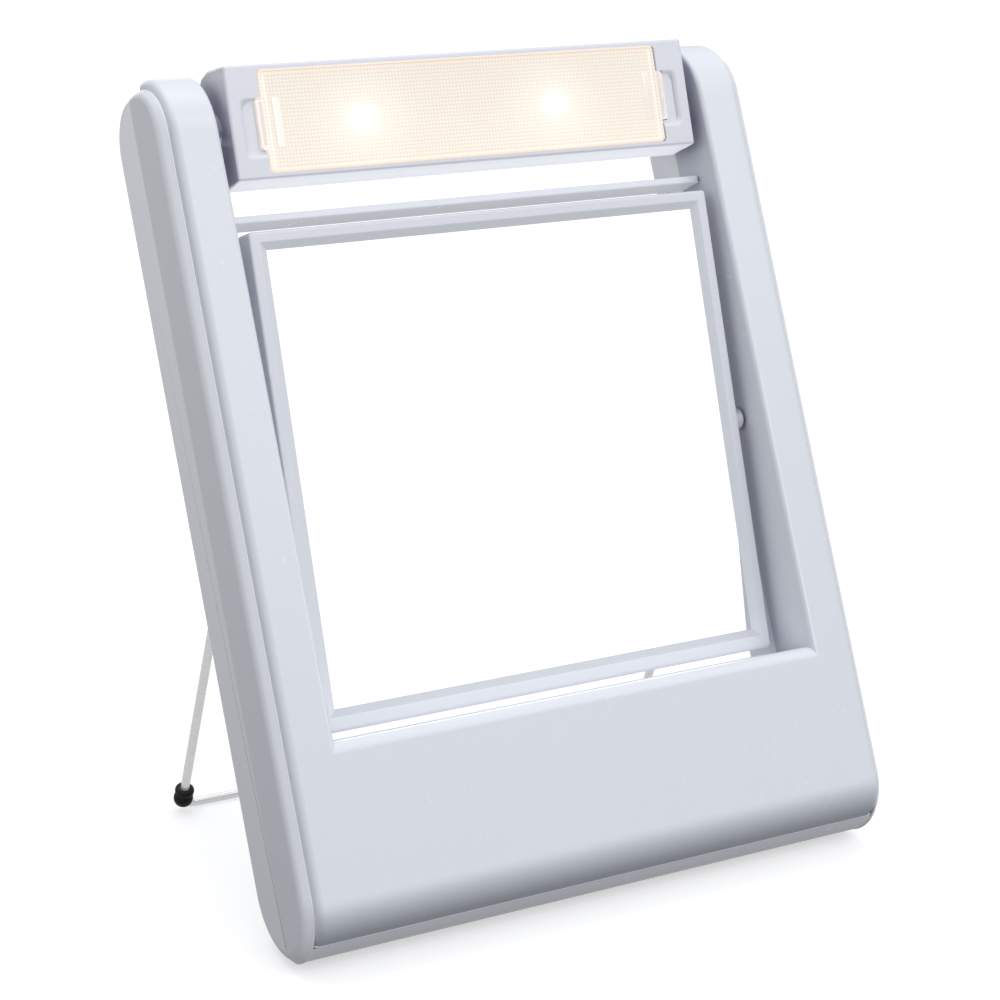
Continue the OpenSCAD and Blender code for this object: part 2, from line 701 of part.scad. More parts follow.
// round globe on a straight neck
module bulb_outline(globe_r, neck_r, neck_l) {
  translate([0, -3.4]) circle(r = globe_r);
  translate([0, -3.4]) square([neck_r, neck_l]);
}
module lamp_bulbs() color([1, 0.97, 0.9, 0.4]) place_bulbs() rotate([-90, 0, 0])
  rotate_extrude() difference() {
    bulb_outline(2.8, 2.2, 4.9);
    bulb_outline(2.4, 1.8, 4.3);
    translate([-6, -8]) square([6, 16]);
  }
module bulb_filaments() color([0.9, 0.8, 0.5]) place_bulbs() {
  translate([0, -3.9, 0]) rod_x(-0.9, 0.9, 0.22);
  for (s = [-1, 1]) translate([s * 0.9, 0, 0]) rod_y(-3.9, 0.89, 0.12);
}
module bulb_bases() color([0.8, 0.68, 0.35]) place_bulbs() difference() {
  union() {
    rod_y(-0.2, 5, 2.9);
    for (k = [0 : 3]) rod_y(0.8 + k, 1.25 + k, 3.1);
    rod_y(5, 5.7, 1.2);
  }
  rod_y(-0.3, 1.52, 2.21);
}
module bulb_holders() color([0.9, 0.9, 0.88]) place_bulbs() difference() {
  union() {
    rod_y(3.4, 6.6, 5);
    mid_box(6.5, [5.6, -4], [6.6, 4]);
  }
  rod_y(3, 5.72, 3.12);
}
// lead routes, [x, y, z] in the lamp frame
left_bulb_route = [[-70, 0, 0.8], [-57.4, 0, 0.8], [-54, 4.6, 2.6], [-32.6, 5.7, 2.2]];
right_bulb_route = [
  [-70, 0, -0.8], [-57.4, 0, -0.8], [-54, 5, -3.6],
  [-34, 6.5, -5.9], [14, 6.5, -5.9], [18.5, 6, -2.4]];
module lamp_leads() color(lead_red) place_lamp()
  for (route = [left_bulb_route, right_bulb_route]) lead(route, 0.55);
module lamp_screws() color(steel) place_lamp() at_lamp_screws() difference() {
  union() {
    rod_y(-6.8, lamp_seat_y, 1.05);
    rod_y(lamp_seat_y, lamp_back - 2.4, 1.95);
  }
  box([-1.4, lamp_back - 2.9, -0.25], [1.4, lamp_back, 0.25]);
}
module lamp_bushes() color(bush_white)
  arm_bushes(lamp_y, lamp_z, lamp_bush_r, 5.4, 2.6, trunnion_r + bore_gap);
module lamp_washers() color(steel) place_lamp() both() difference() {
  rod_x(68.2, 68.8, 5);
  rod_x(68, 69, trunnion_r);
}

front_panel();
front_shell();
rear_shell();
cross_plate();
case_screws();
anti_slip_pads();
battery_tray();
battery_cells();
battery_springs();
battery_contacts();
battery_door();
switch_body();
switch_knob();
case_leads();
stand_wire();
stand_feet();
stand_washers();
mirror_front_frame();
mirror_rear_frame();
mirror_glass_plain();
mirror_glass_magnifying();
mirror_core_pad();
mirror_pins();
mirror_bushes();
lamp_bezel();
lamp_housing();
lamp_lens();
lamp_reflector();
lamp_bulbs();
bulb_filaments();
bulb_bases();
bulb_holders();
lamp_leads();
lamp_screws();
lamp_bushes();
lamp_washers();
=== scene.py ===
"""Leaning, lit table mirror: a case with two arms, a mirror leaf between them, a lamp bar above
and a wire stand behind.

Solids are drawn in millimetres in their own frame: x across, y from front to back, z up the case.
CASE_AT and its relatives take them to the scene, in metres, where the case leans back on the
table at z = 0. Names ending in _X are half widths, or distances from the middle plane.
"""
import math

import bmesh
import bpy
from mathutils import Matrix, Vector


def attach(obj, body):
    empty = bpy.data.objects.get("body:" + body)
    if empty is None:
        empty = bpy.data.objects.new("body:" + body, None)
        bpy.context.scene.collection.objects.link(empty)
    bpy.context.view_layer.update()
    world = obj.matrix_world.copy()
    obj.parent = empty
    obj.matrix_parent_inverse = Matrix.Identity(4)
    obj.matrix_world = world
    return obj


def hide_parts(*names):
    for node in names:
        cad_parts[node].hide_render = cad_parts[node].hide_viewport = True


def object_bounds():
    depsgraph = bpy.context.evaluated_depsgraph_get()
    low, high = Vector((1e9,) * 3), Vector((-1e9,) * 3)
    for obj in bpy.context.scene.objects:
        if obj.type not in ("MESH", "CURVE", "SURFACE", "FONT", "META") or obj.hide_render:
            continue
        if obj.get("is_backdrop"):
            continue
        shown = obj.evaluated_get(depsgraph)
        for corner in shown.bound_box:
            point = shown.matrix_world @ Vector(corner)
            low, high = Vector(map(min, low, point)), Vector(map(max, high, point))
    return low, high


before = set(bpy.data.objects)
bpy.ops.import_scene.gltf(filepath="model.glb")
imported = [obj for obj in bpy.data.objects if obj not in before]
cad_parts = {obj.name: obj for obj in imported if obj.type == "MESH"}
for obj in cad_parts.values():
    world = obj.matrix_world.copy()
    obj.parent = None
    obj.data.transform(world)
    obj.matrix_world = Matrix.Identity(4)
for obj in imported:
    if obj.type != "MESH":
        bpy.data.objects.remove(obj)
cad_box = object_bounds()
MM = 0.001

# ---------------------------------------------------------------- sizes (mm, degrees)
# case
CASE_X, CASE_H, CASE_D = 77.4, 200.2, 31.0
OPEN_X, SILL_Z = 63.7, 46.7             # opening between the arms, and its lower edge
PART_Y = 16.5                           # where front and rear shells meet
FRONT_Y = 1.6                           # front of the front shell
WALL = 2.2
EDGE_R = 3.4                            # rounding of the shell's side edges
TOP_R, FRONT_LOW_R, REAR_LOW_R = 13, 14, 16
TOP_DROP = 1.6                          # how far the shell's top lies below CASE_H
FIT = 0.02                              # overlap between mating parts
LEAN = 25.3
PAD_PROUD = 0.5
# front panel
PANEL_X, PANEL_LOW, PANEL_TOP = 75.0, 2.8, 201.2
PANEL_LOW_R, PANEL_TOP_R, SILL_R = 10, 16, 3.0
INNER_BACK = 21.0                       # back end of the outlines used as cutters
SLOT_Z = (164.7, 166.4)                 # slots in the inner faces of the arms
SCREW_X, SCREW_Z = 72.4, (28, 128, 168)
# battery door
DOOR_X, DOOR_LOW, DOOR_TOP = 55, 15.0, 43.0
# mirror leaf
MIRROR_Y, MIRROR_Z, MIRROR_TILT = 11.28, 105.2, 5.8
LEAF_X, LEAF_Z = 60.7, 56.85
# lamp bar
LAMP_Y, LAMP_Z, LAMP_TILT = 9.56, 186.97, 5.75
LAMP_X, LAMP_HALF_H, LAMP_HALF_D = 60.6, 13.025, 9.0
LAMP_FRONT, LAMP_PART = -LAMP_HALF_D, -5.0
LAMP_WALL = 1.6
POST_X, POST_Z = 56.5, (-9.2, 9.2)
PRISM_PITCH = 0.86
# stand
PIVOT_Y, PIVOT_Z, BAR_Y = 27.4, 100.7, 97.0
WIRE_R, LEG_X, WIRE_BEND_R = 1.1, 67.3, 3.4

# The leaning case stands on its pads and is centred front to back on the origin.
SIN, COS = math.sin(math.radians(LEAN)), math.cos(math.radians(LEAN))
FLOOR_Z = -(CASE_D - REAR_LOW_R) * SIN + REAR_LOW_R * COS - REAR_LOW_R - PAD_PROUD
CASE_Z = -FLOOR_Z
FRONT_REACH = PANEL_LOW_R * COS + (PANEL_LOW + PANEL_LOW_R) * SIN - PANEL_LOW_R
CASE_Y = -(FRONT_REACH + (CASE_D - TOP_R) * COS + (CASE_H - TOP_R) * SIN + TOP_R) / 2
# The stand's cross bar rests on the floor.
BAR_Z = (FLOOR_Z + WIRE_R + BAR_Y * SIN) / COS
LEG_LENGTH = math.hypot(BAR_Y - PIVOT_Y, PIVOT_Z - BAR_Z)
LEG_ANGLE = math.degrees(math.atan2(PIVOT_Z - BAR_Z, BAR_Y - PIVOT_Y))


def move(x, y, z):
    return Matrix.Translation((x, y, z))


def tilt(degrees):
    return Matrix.Rotation(math.radians(degrees), 4, "X")


CASE_AT = Matrix.Scale(MM, 4) @ move(0, CASE_Y, CASE_Z) @ tilt(-LEAN)
MIRROR_AT = CASE_AT @ move(0, MIRROR_Y, MIRROR_Z) @ tilt(MIRROR_TILT)
LAMP_AT = CASE_AT @ move(0, LAMP_Y, LAMP_Z) @ tilt(LAMP_TILT)
LEG_AT = CASE_AT @ move(0, PIVOT_Y, PIVOT_Z) @ tilt(-LEG_ANGLE)


# ---------------------------------------------------------------- outlines and stations
# An outline is a closed loop of (u, v, normal u, normal v).
# Stations are (place along the sweep, inset of the outline there).


def arc(cy, cz, radius, start, end, steps):
    out = []
    for k in range(steps + 1):
        a = math.radians(start + (end - start) * k / steps)
        c, s = math.cos(a), math.sin(a)
        out.append((cy + radius * c, cz + radius * s, c, s))
    return out


def grow(outline, inset):
    return [(y - ny * inset, z - nz * inset, ny, nz) for y, z, ny, nz in outline]


def outward(normal, inward):
    return -normal if normal.dot(inward) > 0 else normal


def round_polygon(points, radii, steps=6):
    """Outline of a convex polygon with rounded corners."""
    n = len(points)
    area = sum(points[i][0] * points[(i + 1) % n][1] - points[(i + 1) % n][0] * points[i][1]
               for i in range(n))
    if area < 0:
        points, radii = list(reversed(points)), list(reversed(radii))
    out = []
    for i in range(n):
        corner = Vector(points[i])
        before = (Vector(points[i - 1]) - corner).normalized()
        after = (Vector(points[(i + 1) % n]) - corner).normalized()
        half = math.acos(before.dot(after)) / 2
        center = corner + (before + after).normalized() * (radii[i] / math.sin(half))
        n0 = outward(Vector((before.y, -before.x)), center - corner)
        n1 = outward(Vector((-after.y, after.x)), center - corner)
        start, end = math.atan2(n0.y, n0.x), math.atan2(n1.y, n1.x)
        while end < start:
            end += 2 * math.pi
        out += arc(center.x, center.y, radii[i], 0, 0, 0) if False else [
            (center.x + radii[i] * math.cos(t), center.y + radii[i] * math.sin(t),
             math.cos(t), math.sin(t))
            for t in (start + (end - start) * k / steps for k in range(steps + 1))]
    return out


def round_rect(u0, u1, v0, v1, radii, steps=6):
    return round_polygon([(u0, v0), (u1, v0), (u1, v1), (u0, v1)], radii, steps)


def eased_ends(x0, x1, radius0, radius1, steps):
    """Stations from x0 to x1, each end rounded over by a quarter circle."""
    def quarter(x, radius, side):
        angles = [math.pi / 2 * k / steps for k in range(steps + 1)]
        return [(x + side * radius * (1 - math.cos(a)), radius * (1 - math.sin(a)))
                for a in angles]

    return quarter(x0, radius0, 1) + quarter(x1, radius1, -1)[::-1]


def span(side, inner, outer):
    """Low and high x of a stretch on the given side."""
    return sorted((side * inner, side * outer))


def to_side(profile, side):
    """Lathe profile drawn for +x, mirrored when the side is -1."""
    return profile if side > 0 else [(r, -t) for r, t in reversed(profile)]


# ---------------------------------------------------------------- solids


def obj_of(bm, name="t"):
    bmesh.ops.recalc_face_normals(bm, faces=bm.faces)
    mesh = bpy.data.meshes.new(name)
    bm.to_mesh(mesh)
    bm.free()
    obj = bpy.data.objects.new(name, mesh)
    bpy.context.scene.collection.objects.link(obj)
    return obj


def bridge(bm, a, b):
    """Faces between two closed loops of vertices."""
    n = len(a)
    for k in range(n):
        bm.faces.new((a[k], a[(k + 1) % n], b[(k + 1) % n], b[k]))


def loft(rings, closed=False):
    """Solid through rings of points; closed joins the last ring to the first."""
    bm = bmesh.new()
    loops = [[bm.verts.new(p) for p in ring] for ring in rings]
    for a, b in zip(loops, loops[1:]):
        bridge(bm, a, b)
    if closed:
        bridge(bm, loops[-1], loops[0])
    else:
        bm.faces.new(loops[0])
        bm.faces.new(list(reversed(loops[-1])))
    return obj_of(bm)


def box(low, high):
    bm = bmesh.new()
    bmesh.ops.create_cube(bm, size=1.0)
    for v in bm.verts:
        v.co = Vector([low[i] + (v.co[i] + 0.5) * (high[i] - low[i]) for i in range(3)])
    return obj_of(bm)


def box_pair(low, high):
    """A box and its mirror image across x = 0."""
    return [box(low, high), box((-high[0], low[1], low[2]), (-low[0], high[1], high[2]))]


def lathe(axis, center, profile, sides=56):
    """Solid of revolution; profile is (radius, place along the axis)."""
    rings = []
    for r, t in profile:
        ring = []
        for k in range(sides):
            a = 2 * math.pi * k / sides
            u, w = r * math.cos(a), r * math.sin(a)
            p = {"x": (t, u, w), "y": (w, t, u), "z": (u, w, t)}[axis]
            ring.append(tuple(p[i] + center[i] for i in range(3)))
        rings.append(ring)
    return loft(rings)


def cyl(axis, center, radius, start, end, sides=48):
    return lathe(axis, center, [(radius, start), (radius, end)], sides)


def sweep_x(outline, stations):
    return loft([[(x, y - ny * d, z - nz * d) for y, z, ny, nz in outline] for x, d in stations])


def extrude_x(outline, x0, x1):
    return sweep_x(outline, [(x0, 0), (x1, 0)])


def sweep_y(outline, stations, side=1):
    """Sweeps an (x, z) outline along y, mirrored to -x when side is -1."""
    return loft([[(side * (x - nx * d), y, z - nz * d) for x, z, nx, nz in outline]
                 for y, d in stations])


def boolean(a, b, operation):
    mod = a.modifiers.new("b", "BOOLEAN")
    mod.object, mod.operation = b, operation
    # EXACT takes over where MANIFOLD refuses its input and leaves nothing
    for solver in ("MANIFOLD", "EXACT"):
        mod.solver = solver
        bpy.context.view_layer.update()
        evaluated = a.evaluated_get(bpy.context.evaluated_depsgraph_get())
        mesh = bpy.data.meshes.new_from_object(evaluated)
        if mesh.polygons:
            break
    a.modifiers.clear()
    a.data = mesh
    bpy.data.objects.remove(b)
    return a


def flattened(items):
    out = []
    for item in items:
        out.extend(flattened(item) if isinstance(item, (list, tuple)) else [item])
    return out


def union(base, *others):
    """Adds the others to base in place."""
    for other in flattened(others):
        boolean(base, other, "UNION")
    return base


def subtract(base, *others):
    """Cuts the others out of base in place."""
    for other in flattened(others):
        boolean(base, other, "DIFFERENCE")
    return base


def piece(obj, name, matrix, body, mat, replaces=None, sharp=32, dissolve=0.4):
    """Moves a finished solid to the scene, shades it and hands it to the frame.
    sharp, dissolve: angles in degrees for sharp edges and for merging flat faces."""
    bm = bmesh.new()
    bm.from_mesh(obj.data)
    bmesh.ops.remove_doubles(bm, verts=bm.verts, dist=0.0008)
    if dissolve:
        bmesh.ops.dissolve_limit(bm, angle_limit=math.radians(dissolve),
                                 verts=bm.verts, edges=bm.edges)
    bmesh.ops.recalc_face_normals(bm, faces=bm.faces)
    bm.transform(matrix)
    for f in bm.faces:
        f.smooth = True
    bm.to_mesh(obj.data)
    bm.free()
    obj.data.set_sharp_from_angle(angle=math.radians(sharp))
    obj.name = name
    obj.data.name = name
    obj.data.materials.clear()
    obj.data.materials.append(mat)
    weighted = obj.modifiers.new("shade", "WEIGHTED_NORMAL")
    weighted.keep_sharp = True
    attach(obj, body)
    if replaces:
        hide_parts(replaces)


# ---------------------------------------------------------------- node building


def rgb(r, g, b, gain=1.0):
    return (r * gain, g * gain, b * gain, 1.0)


class Nodes:
    """Builds the node tree of a material or a world; methods return output sockets."""

    def __init__(self, owner, output, coords):
        owner.use_nodes = True
        self.owner, self.tree = owner, owner.node_tree
        self.tree.nodes.clear()
        self.out = self.node(output).inputs[0]
        self.coords = self.node("ShaderNodeTexCoord").outputs[coords]

    def feed(self, socket, value):
        """Links a socket, or sets a plain value."""
        if hasattr(value, "is_linked"):
            self.tree.links.new(value, socket)
        else:
            socket.default_value = value

    def node(self, kind, **settings):
        """New node; settings are inputs (with _ for a space) or else node properties."""
        n = self.tree.nodes.new(kind)
        for key, value in settings.items():
            socket = key.replace("_", " ")
            if socket in n.inputs:
                self.feed(n.inputs[socket], value)
            else:
                setattr(n, key, value)
        return n

    def make(self, kind, **settings):
        return self.node(kind, **settings).outputs[0]

    def fed(self, kind, values, **settings):
        """New node with its inputs set by index."""
        n = self.node(kind, **settings)
        for i, value in values.items():
            self.feed(n.inputs[i], value)
        return n

    def noise(self, scale, detail=3.0, rough=0.55, stretch=None):
        v = self.coords
        if stretch:
            v = self.make("ShaderNodeMapping", Vector=v, Scale=stretch)
        return self.node("ShaderNodeTexNoise", Vector=v, Scale=scale, Detail=detail,
                         Roughness=rough).outputs["Fac"]

    def remap(self, value, source, target=(0.0, 1.0)):
        return self.make("ShaderNodeMapRange", Value=value, From_Min=source[0],
                         From_Max=source[1], To_Min=target[0], To_Max=target[1])

    def math(self, op, a, b=0.0, clamp=False):
        return self.fed("ShaderNodeMath", {0: a, 1: b}, operation=op, use_clamp=clamp).outputs[0]

    def add(self, a, b, clamp=False):
        return self.math("ADD", a, b, clamp)

    def mul(self, a, b):
        return self.math("MULTIPLY", a, b)

    def dot(self, vector, direction):
        return self.fed("ShaderNodeVectorMath", {0: vector, 1: tuple(direction)},
                        operation="DOT_PRODUCT").outputs["Value"]

    def mix(self, fac, a, b, blend="MIX"):
        return self.fed("ShaderNodeMix", {0: fac, 6: a, 7: b}, data_type="RGBA",
                        blend_type=blend).outputs[2]

    def bump(self, height, strength, dist, normal=None):
        extra = {} if normal is None else {"Normal": normal}
        return self.make("ShaderNodeBump", Height=height, Strength=strength, Distance=dist,
                         **extra)

    def emission(self, color, strength):
        return self.make("ShaderNodeEmission", Color=color, Strength=strength)

    def diffuse(self, color):
        return self.make("ShaderNodeBsdfDiffuse", Color=color)

    def glossy(self, rough):
        return self.make("ShaderNodeBsdfGlossy", Color=rgb(1, 1, 1), Roughness=rough)

    def mix_shader(self, fac, a, b):
        return self.fed("ShaderNodeMixShader", {0: fac, 1: a, 2: b}).outputs[0]

    def add_shader(self, a, b):
        return self.fed("ShaderNodeAddShader", {0: a, 1: b}).outputs[0]

    def finish(self, shader):
        self.feed(self.out, shader)
        return self.owner

    def principled(self, glow=None, glow_color=None, **settings):
        """Principled surface; its glow isn't sampled as a light."""
        # the glow is painted light: emission on plastics and on the stand wire, which are no lamps
        if glow:
            settings.update(Emission_Strength=glow, Emission_Color=glow_color)
            self.owner.cycles.emission_sampling = "NONE"
        return self.finish(self.make("ShaderNodeBsdfPrincipled", **settings))


def material(name):
    return Nodes(bpy.data.materials.new(name), "ShaderNodeOutputMaterial", "Object")


# ---------------------------------------------------------------- materials


def plastic(name, base, rough=0.26, grain=0.012, edge=0.0, wear=0.03, painted_glow_rows=(), shade=(),
            crevice=0.0):
    """Injection-moulded plastic: fine orange peel, faint flow mottling, hair-fine rub marks.
    painted_glow_rows: rows of (direction, start, full, low, high), painted glow standing in for
          light on walls facing a direction, low at the table and high at the top of the object;
    shade: rows of (direction, start, full, colour), painted shade multiplied on walls facing a
    direction;
    start and full are cosines between which the effect sets in;
    edge: radius of rounded-looking edges; crevice: strength of the cool shade in gaps."""
    m = material(name)
    flow = m.noise(22.0, detail=1.0, rough=0.4)
    fine = m.noise(2600.0, detail=2.0, rough=0.5)
    peel = m.noise(420.0, detail=2.0, rough=0.5)
    rub = m.noise(240.0, detail=4.0, rough=0.6, stretch=(1.0, 0.3, 1.0))
    color = m.mix(m.remap(flow, (0.1, 0.9)), rgb(*base), rgb(*base, gain=0.99))
    if painted_glow_rows or shade:
        facing = m.node("ShaderNodeNewGeometry").outputs["True Normal"]

    def toward(direction, start, full):
        return m.remap(m.dot(facing, Vector(direction).normalized()), (start, full))

    # painted shade: walls facing each direction get their colour multiplied by a darker tone
    for direction, start, full, tone in shade:
        color = m.mix(toward(direction, start, full), color, rgb(*tone), blend="MULTIPLY")
    # painted shade: cool darkening in gaps and crevices, taken from ambient occlusion
    if crevice:
        ao = m.node("ShaderNodeAmbientOcclusion", samples=6, Distance=0.011).outputs["AO"]
        color = m.mix(m.remap(ao, (0.05, 0.62), (crevice, 0.0)), color,
                      rgb(0.44, 0.42, 0.52), blend="MULTIPLY")
    roughness = m.add(m.remap(rub, (0.1, 0.9), (rough - wear, rough + wear)),
                      m.remap(flow, (0.0, 1.0), (-0.01, 0.01)), clamp=True)
    bevel = m.make("ShaderNodeBevel", samples=3, Radius=edge) if edge else None
    normal = m.bump(peel, strength=0.08, dist=0.00006, normal=bevel)
    normal = m.bump(fine, strength=grain * 6, dist=0.00001, normal=normal)
    # painted glow: emission on walls facing each direction, standing in for light that falls on
    # them
    glow = None
    for direction, start, full, low, high in painted_glow_rows:
        z = m.node("ShaderNodeSeparateXYZ", Vector=m.coords).outputs[2]
        part = m.mul(toward(direction, start, full), m.remap(z, (0.0, 0.18), (low, high)))
        glow = m.add(glow, part) if glow else part
    return m.principled(glow=glow, glow_color=rgb(0.97, 0.98, 1.0), Base_Color=color,
                        Roughness=roughness, Normal=normal, Specular_IOR_Level=0.5)


def metal(name, base, rough, stretch=None, scale=900.0, bump=0.15, metallic=1.0, glow=0.0):
    m = material(name)
    grain = m.noise(scale, detail=4.0, rough=0.65, stretch=stretch)
    blot = m.noise(60.0, detail=3.0, rough=0.5)
    color = m.mix(m.remap(grain, (0.35, 0.65)), rgb(*base), rgb(*base, gain=0.86))
    roughness = m.add(m.remap(grain, (0.3, 0.7), (rough - 0.06, rough + 0.08)),
                      m.remap(blot, (0.4, 0.7), (0.0, 0.06)))
    # glow: painted glow in the metal's own colour, light painted on a part that is no lamp
    return m.principled(glow=glow, glow_color=rgb(*base), Base_Color=color, Metallic=metallic,
                        Roughness=roughness, Normal=m.bump(grain, strength=bump, dist=0.00002))


def rubber(name, base, rough=0.62):
    m = material(name)
    grain = m.noise(1800.0, detail=4.0, rough=0.7)
    dust = m.noise(160.0, detail=3.0, rough=0.6)
    dusty = rgb(*[c * (1.9 if c < 0.4 else 1.08) + 0.004 for c in base])
    return m.principled(Base_Color=m.mix(m.remap(dust, (0.4, 0.7)), rgb(*base), dusty),
                        Roughness=m.remap(dust, (0.3, 0.7), (rough - 0.08, rough + 0.1)),
                        Normal=m.bump(grain, strength=0.25, dist=0.00003),
                        Specular_IOR_Level=0.22)


def mirror_silver(name):
    """Silvered glass: near-perfect reflection with a trace of wipe marks."""
    m = material(name)
    wipe = m.noise(55.0, detail=5.0, rough=0.7, stretch=(1.0, 0.4, 2.2))
    return m.principled(Roughness=m.remap(wipe, (0.55, 0.75), (0.006, 0.028)), Metallic=1.0,
                        Base_Color=m.mix(m.remap(wipe, (0.4, 0.7)), rgb(0.965, 0.972, 0.975),
                                         rgb(0.95, 0.96, 0.966)))


def axis_of(matrix, direction):
    """A frame's own direction in scene coordinates."""
    return matrix.to_3x3() @ (Vector(direction) * 1000)


CASE_UP, CASE_BACK = axis_of(CASE_AT, (0, 0, 1)), axis_of(CASE_AT, (0, 1, 0))
CASE_DOWN, LAMP_DOWN = axis_of(CASE_AT, (0, 0, -1)), axis_of(LAMP_AT, (0, 0, -1))
MIRROR_UP = axis_of(MIRROR_AT, (0, 0, 1))
LEFT, RIGHT = (-1, 0, 0), (1, 0, 0)

# The white plastics are one plastic in lit and shaded copies. Front panel: painted shade on walls
# facing down and in gaps.
WHITE = plastic("white_shell", (0.765, 0.79, 0.84), crevice=0.85,
                shade=((CASE_DOWN, 0.15, 0.85, (0.66, 0.67, 0.70)),))
# front shell: painted glow on the side walls, the bevelled band and down-facing walls near the
# table; painted shade in gaps
WHITE_BAND = plastic("white_shell_front", (0.765, 0.79, 0.835), crevice=0.25, painted_glow_rows=(
    (LEFT, 0.8, 0.98, 0.0, 0.07),
    (RIGHT, 0.8, 0.98, 0.0, 0.07),
    ((0.8, -0.6, 0), 0.7, 0.95, 0.16, 0.16),
    ((-0.75, -0.66, 0.1), 0.8, 0.98, 0.06, 0.08),
    (CASE_DOWN, 0.2, 0.8, 0.075, 0.0)))
# rear shell and door: painted glow on walls facing sideways, up and back; painted shade in gaps
WHITE_REAR = plastic("white_shell_rear", (0.80, 0.82, 0.855), crevice=0.7, painted_glow_rows=(
    (LEFT, 0.5, 0.95, 0.02, 0.17),
    (RIGHT, 0.5, 0.95, 0.02, 0.17),
    (CASE_UP, 0.9, 0.99, 0.3, 0.1),
    (CASE_BACK, 0.5, 0.95, 0.12, 0.12)))
# cross plate: painted glow on its underside, standing in for lamp light bouncing there
WHITE_PLATE = plastic("white_shell_plate", (0.765, 0.79, 0.84),
                      painted_glow_rows=((CASE_DOWN, 0.2, 0.8, 0.2, 0.2),))
# mirror rim: painted glow on walls facing down, painted shade on walls facing up
WHITE_FRAME = plastic("white_frame", (0.77, 0.79, 0.84), rough=0.22,
                      painted_glow_rows=((-MIRROR_UP, 0.2, 0.8, 0.1, 0.1),),
                      shade=((MIRROR_UP, 0.15, 0.7, (0.70, 0.705, 0.72)),))
# lamp bar: painted glow on its underside and on walls facing back, standing in for lamp light;
# painted shade in gaps
WHITE_LAMP = plastic("white_lamp", (0.77, 0.785, 0.84), rough=0.24, crevice=1.0, painted_glow_rows=(
    (CASE_BACK, 0.5, 0.95, 0.12, 0.12),
    (LAMP_DOWN, 0.5, 0.97, 0.46, 0.46)))
TRAY = plastic("tray_plastic", (0.55, 0.56, 0.6), rough=0.5)
# acetal bushes: painted shade in gaps
ACETAL = plastic("acetal", (0.66, 0.66, 0.66), rough=0.42, edge=0.0002, crevice=0.9)
BLACK = plastic("black_plastic", (0.02, 0.02, 0.022), rough=0.38, grain=0.03, edge=0.00015,
                wear=0.05)
HOLDER = plastic("holder_plastic", (0.72, 0.71, 0.68), rough=0.45)
STEEL = metal("steel_screw", (0.60, 0.60, 0.61), rough=0.32)
SPRING = metal("spring_steel", (0.66, 0.66, 0.67), rough=0.28, stretch=(1.0, 6.0, 6.0))
# stand wire: painted glow that brightens the steel
WIRE = metal("stand_steel", (0.95, 0.95, 0.95), rough=0.24, stretch=(0.12, 1.0, 1.0),
             scale=1500.0, bump=0.04, metallic=0.85, glow=0.14)
NICKEL = metal("nickel_plate", (0.74, 0.71, 0.64), rough=0.26)
BRASS = metal("bulb_brass", (0.76, 0.58, 0.26), rough=0.28)
REFLECT = metal("reflector_film", (0.86, 0.86, 0.85), rough=0.12, scale=500.0, bump=0.05)
RUBBER = rubber("black_rubber", (0.010, 0.010, 0.011), rough=0.42)
PAD = rubber("clear_silicone", (0.62, 0.64, 0.66), rough=0.45)
SLEEVE = rubber("lead_sleeve", (0.38, 0.03, 0.025), rough=0.42)
MIRROR = mirror_silver("mirror_silver")


def card(name):
    m = material(name)
    fibre = m.noise(700.0, detail=6.0, rough=0.75, stretch=(1.0, 1.0, 4.0))
    color = m.mix(m.remap(fibre, (0.35, 0.65)), rgb(0.40, 0.36, 0.28), rgb(0.30, 0.26, 0.19))
    return m.principled(Base_Color=color, Roughness=0.9,
                        Normal=m.bump(fibre, strength=0.3, dist=0.00004))


def jacket(name):
    """Cell sleeve: plain green-grey foil with paler bands across x."""
    m = material(name)
    fine = m.noise(1500.0, detail=3.0, rough=0.6)
    bands_per_metre, band_start = 18.0, 0.78
    x = m.make("ShaderNodeSeparateXYZ", Vector=m.coords)
    phase = m.math("FRACT", m.mul(m.math("ABSOLUTE", x), bands_per_metre))
    band = m.math("GREATER_THAN", phase, band_start)
    return m.principled(Base_Color=m.mix(band, rgb(0.05, 0.11, 0.08), rgb(0.45, 0.47, 0.44)),
                        Metallic=0.35, Roughness=m.remap(fine, (0.3, 0.7), (0.25, 0.4)))


def bulb_glass(name):
    m = material(name)
    haze = m.noise(1200.0, detail=3.0, rough=0.6)
    clear = m.make("ShaderNodeBsdfTransparent", Color=rgb(1.0, 0.98, 0.93))
    shine = m.glossy(m.remap(haze, (0.3, 0.7), (0.02, 0.08)))
    return m.finish(m.mix_shader(m.make("ShaderNodeFresnel", IOR=1.45), clear, shine))


def filament(name):
    m = material(name)
    hot = m.noise(4000.0, detail=2.0, rough=0.5)
    color = m.mix(hot, rgb(1.0, 0.82, 0.55), rgb(1.0, 0.9, 0.7))
    return m.finish(m.emission(color, strength=60.0))


CARD, JACKET = card("core_card"), jacket("cell_jacket")
BULB, FILAMENT = bulb_glass("bulb_glass"), filament("filament")


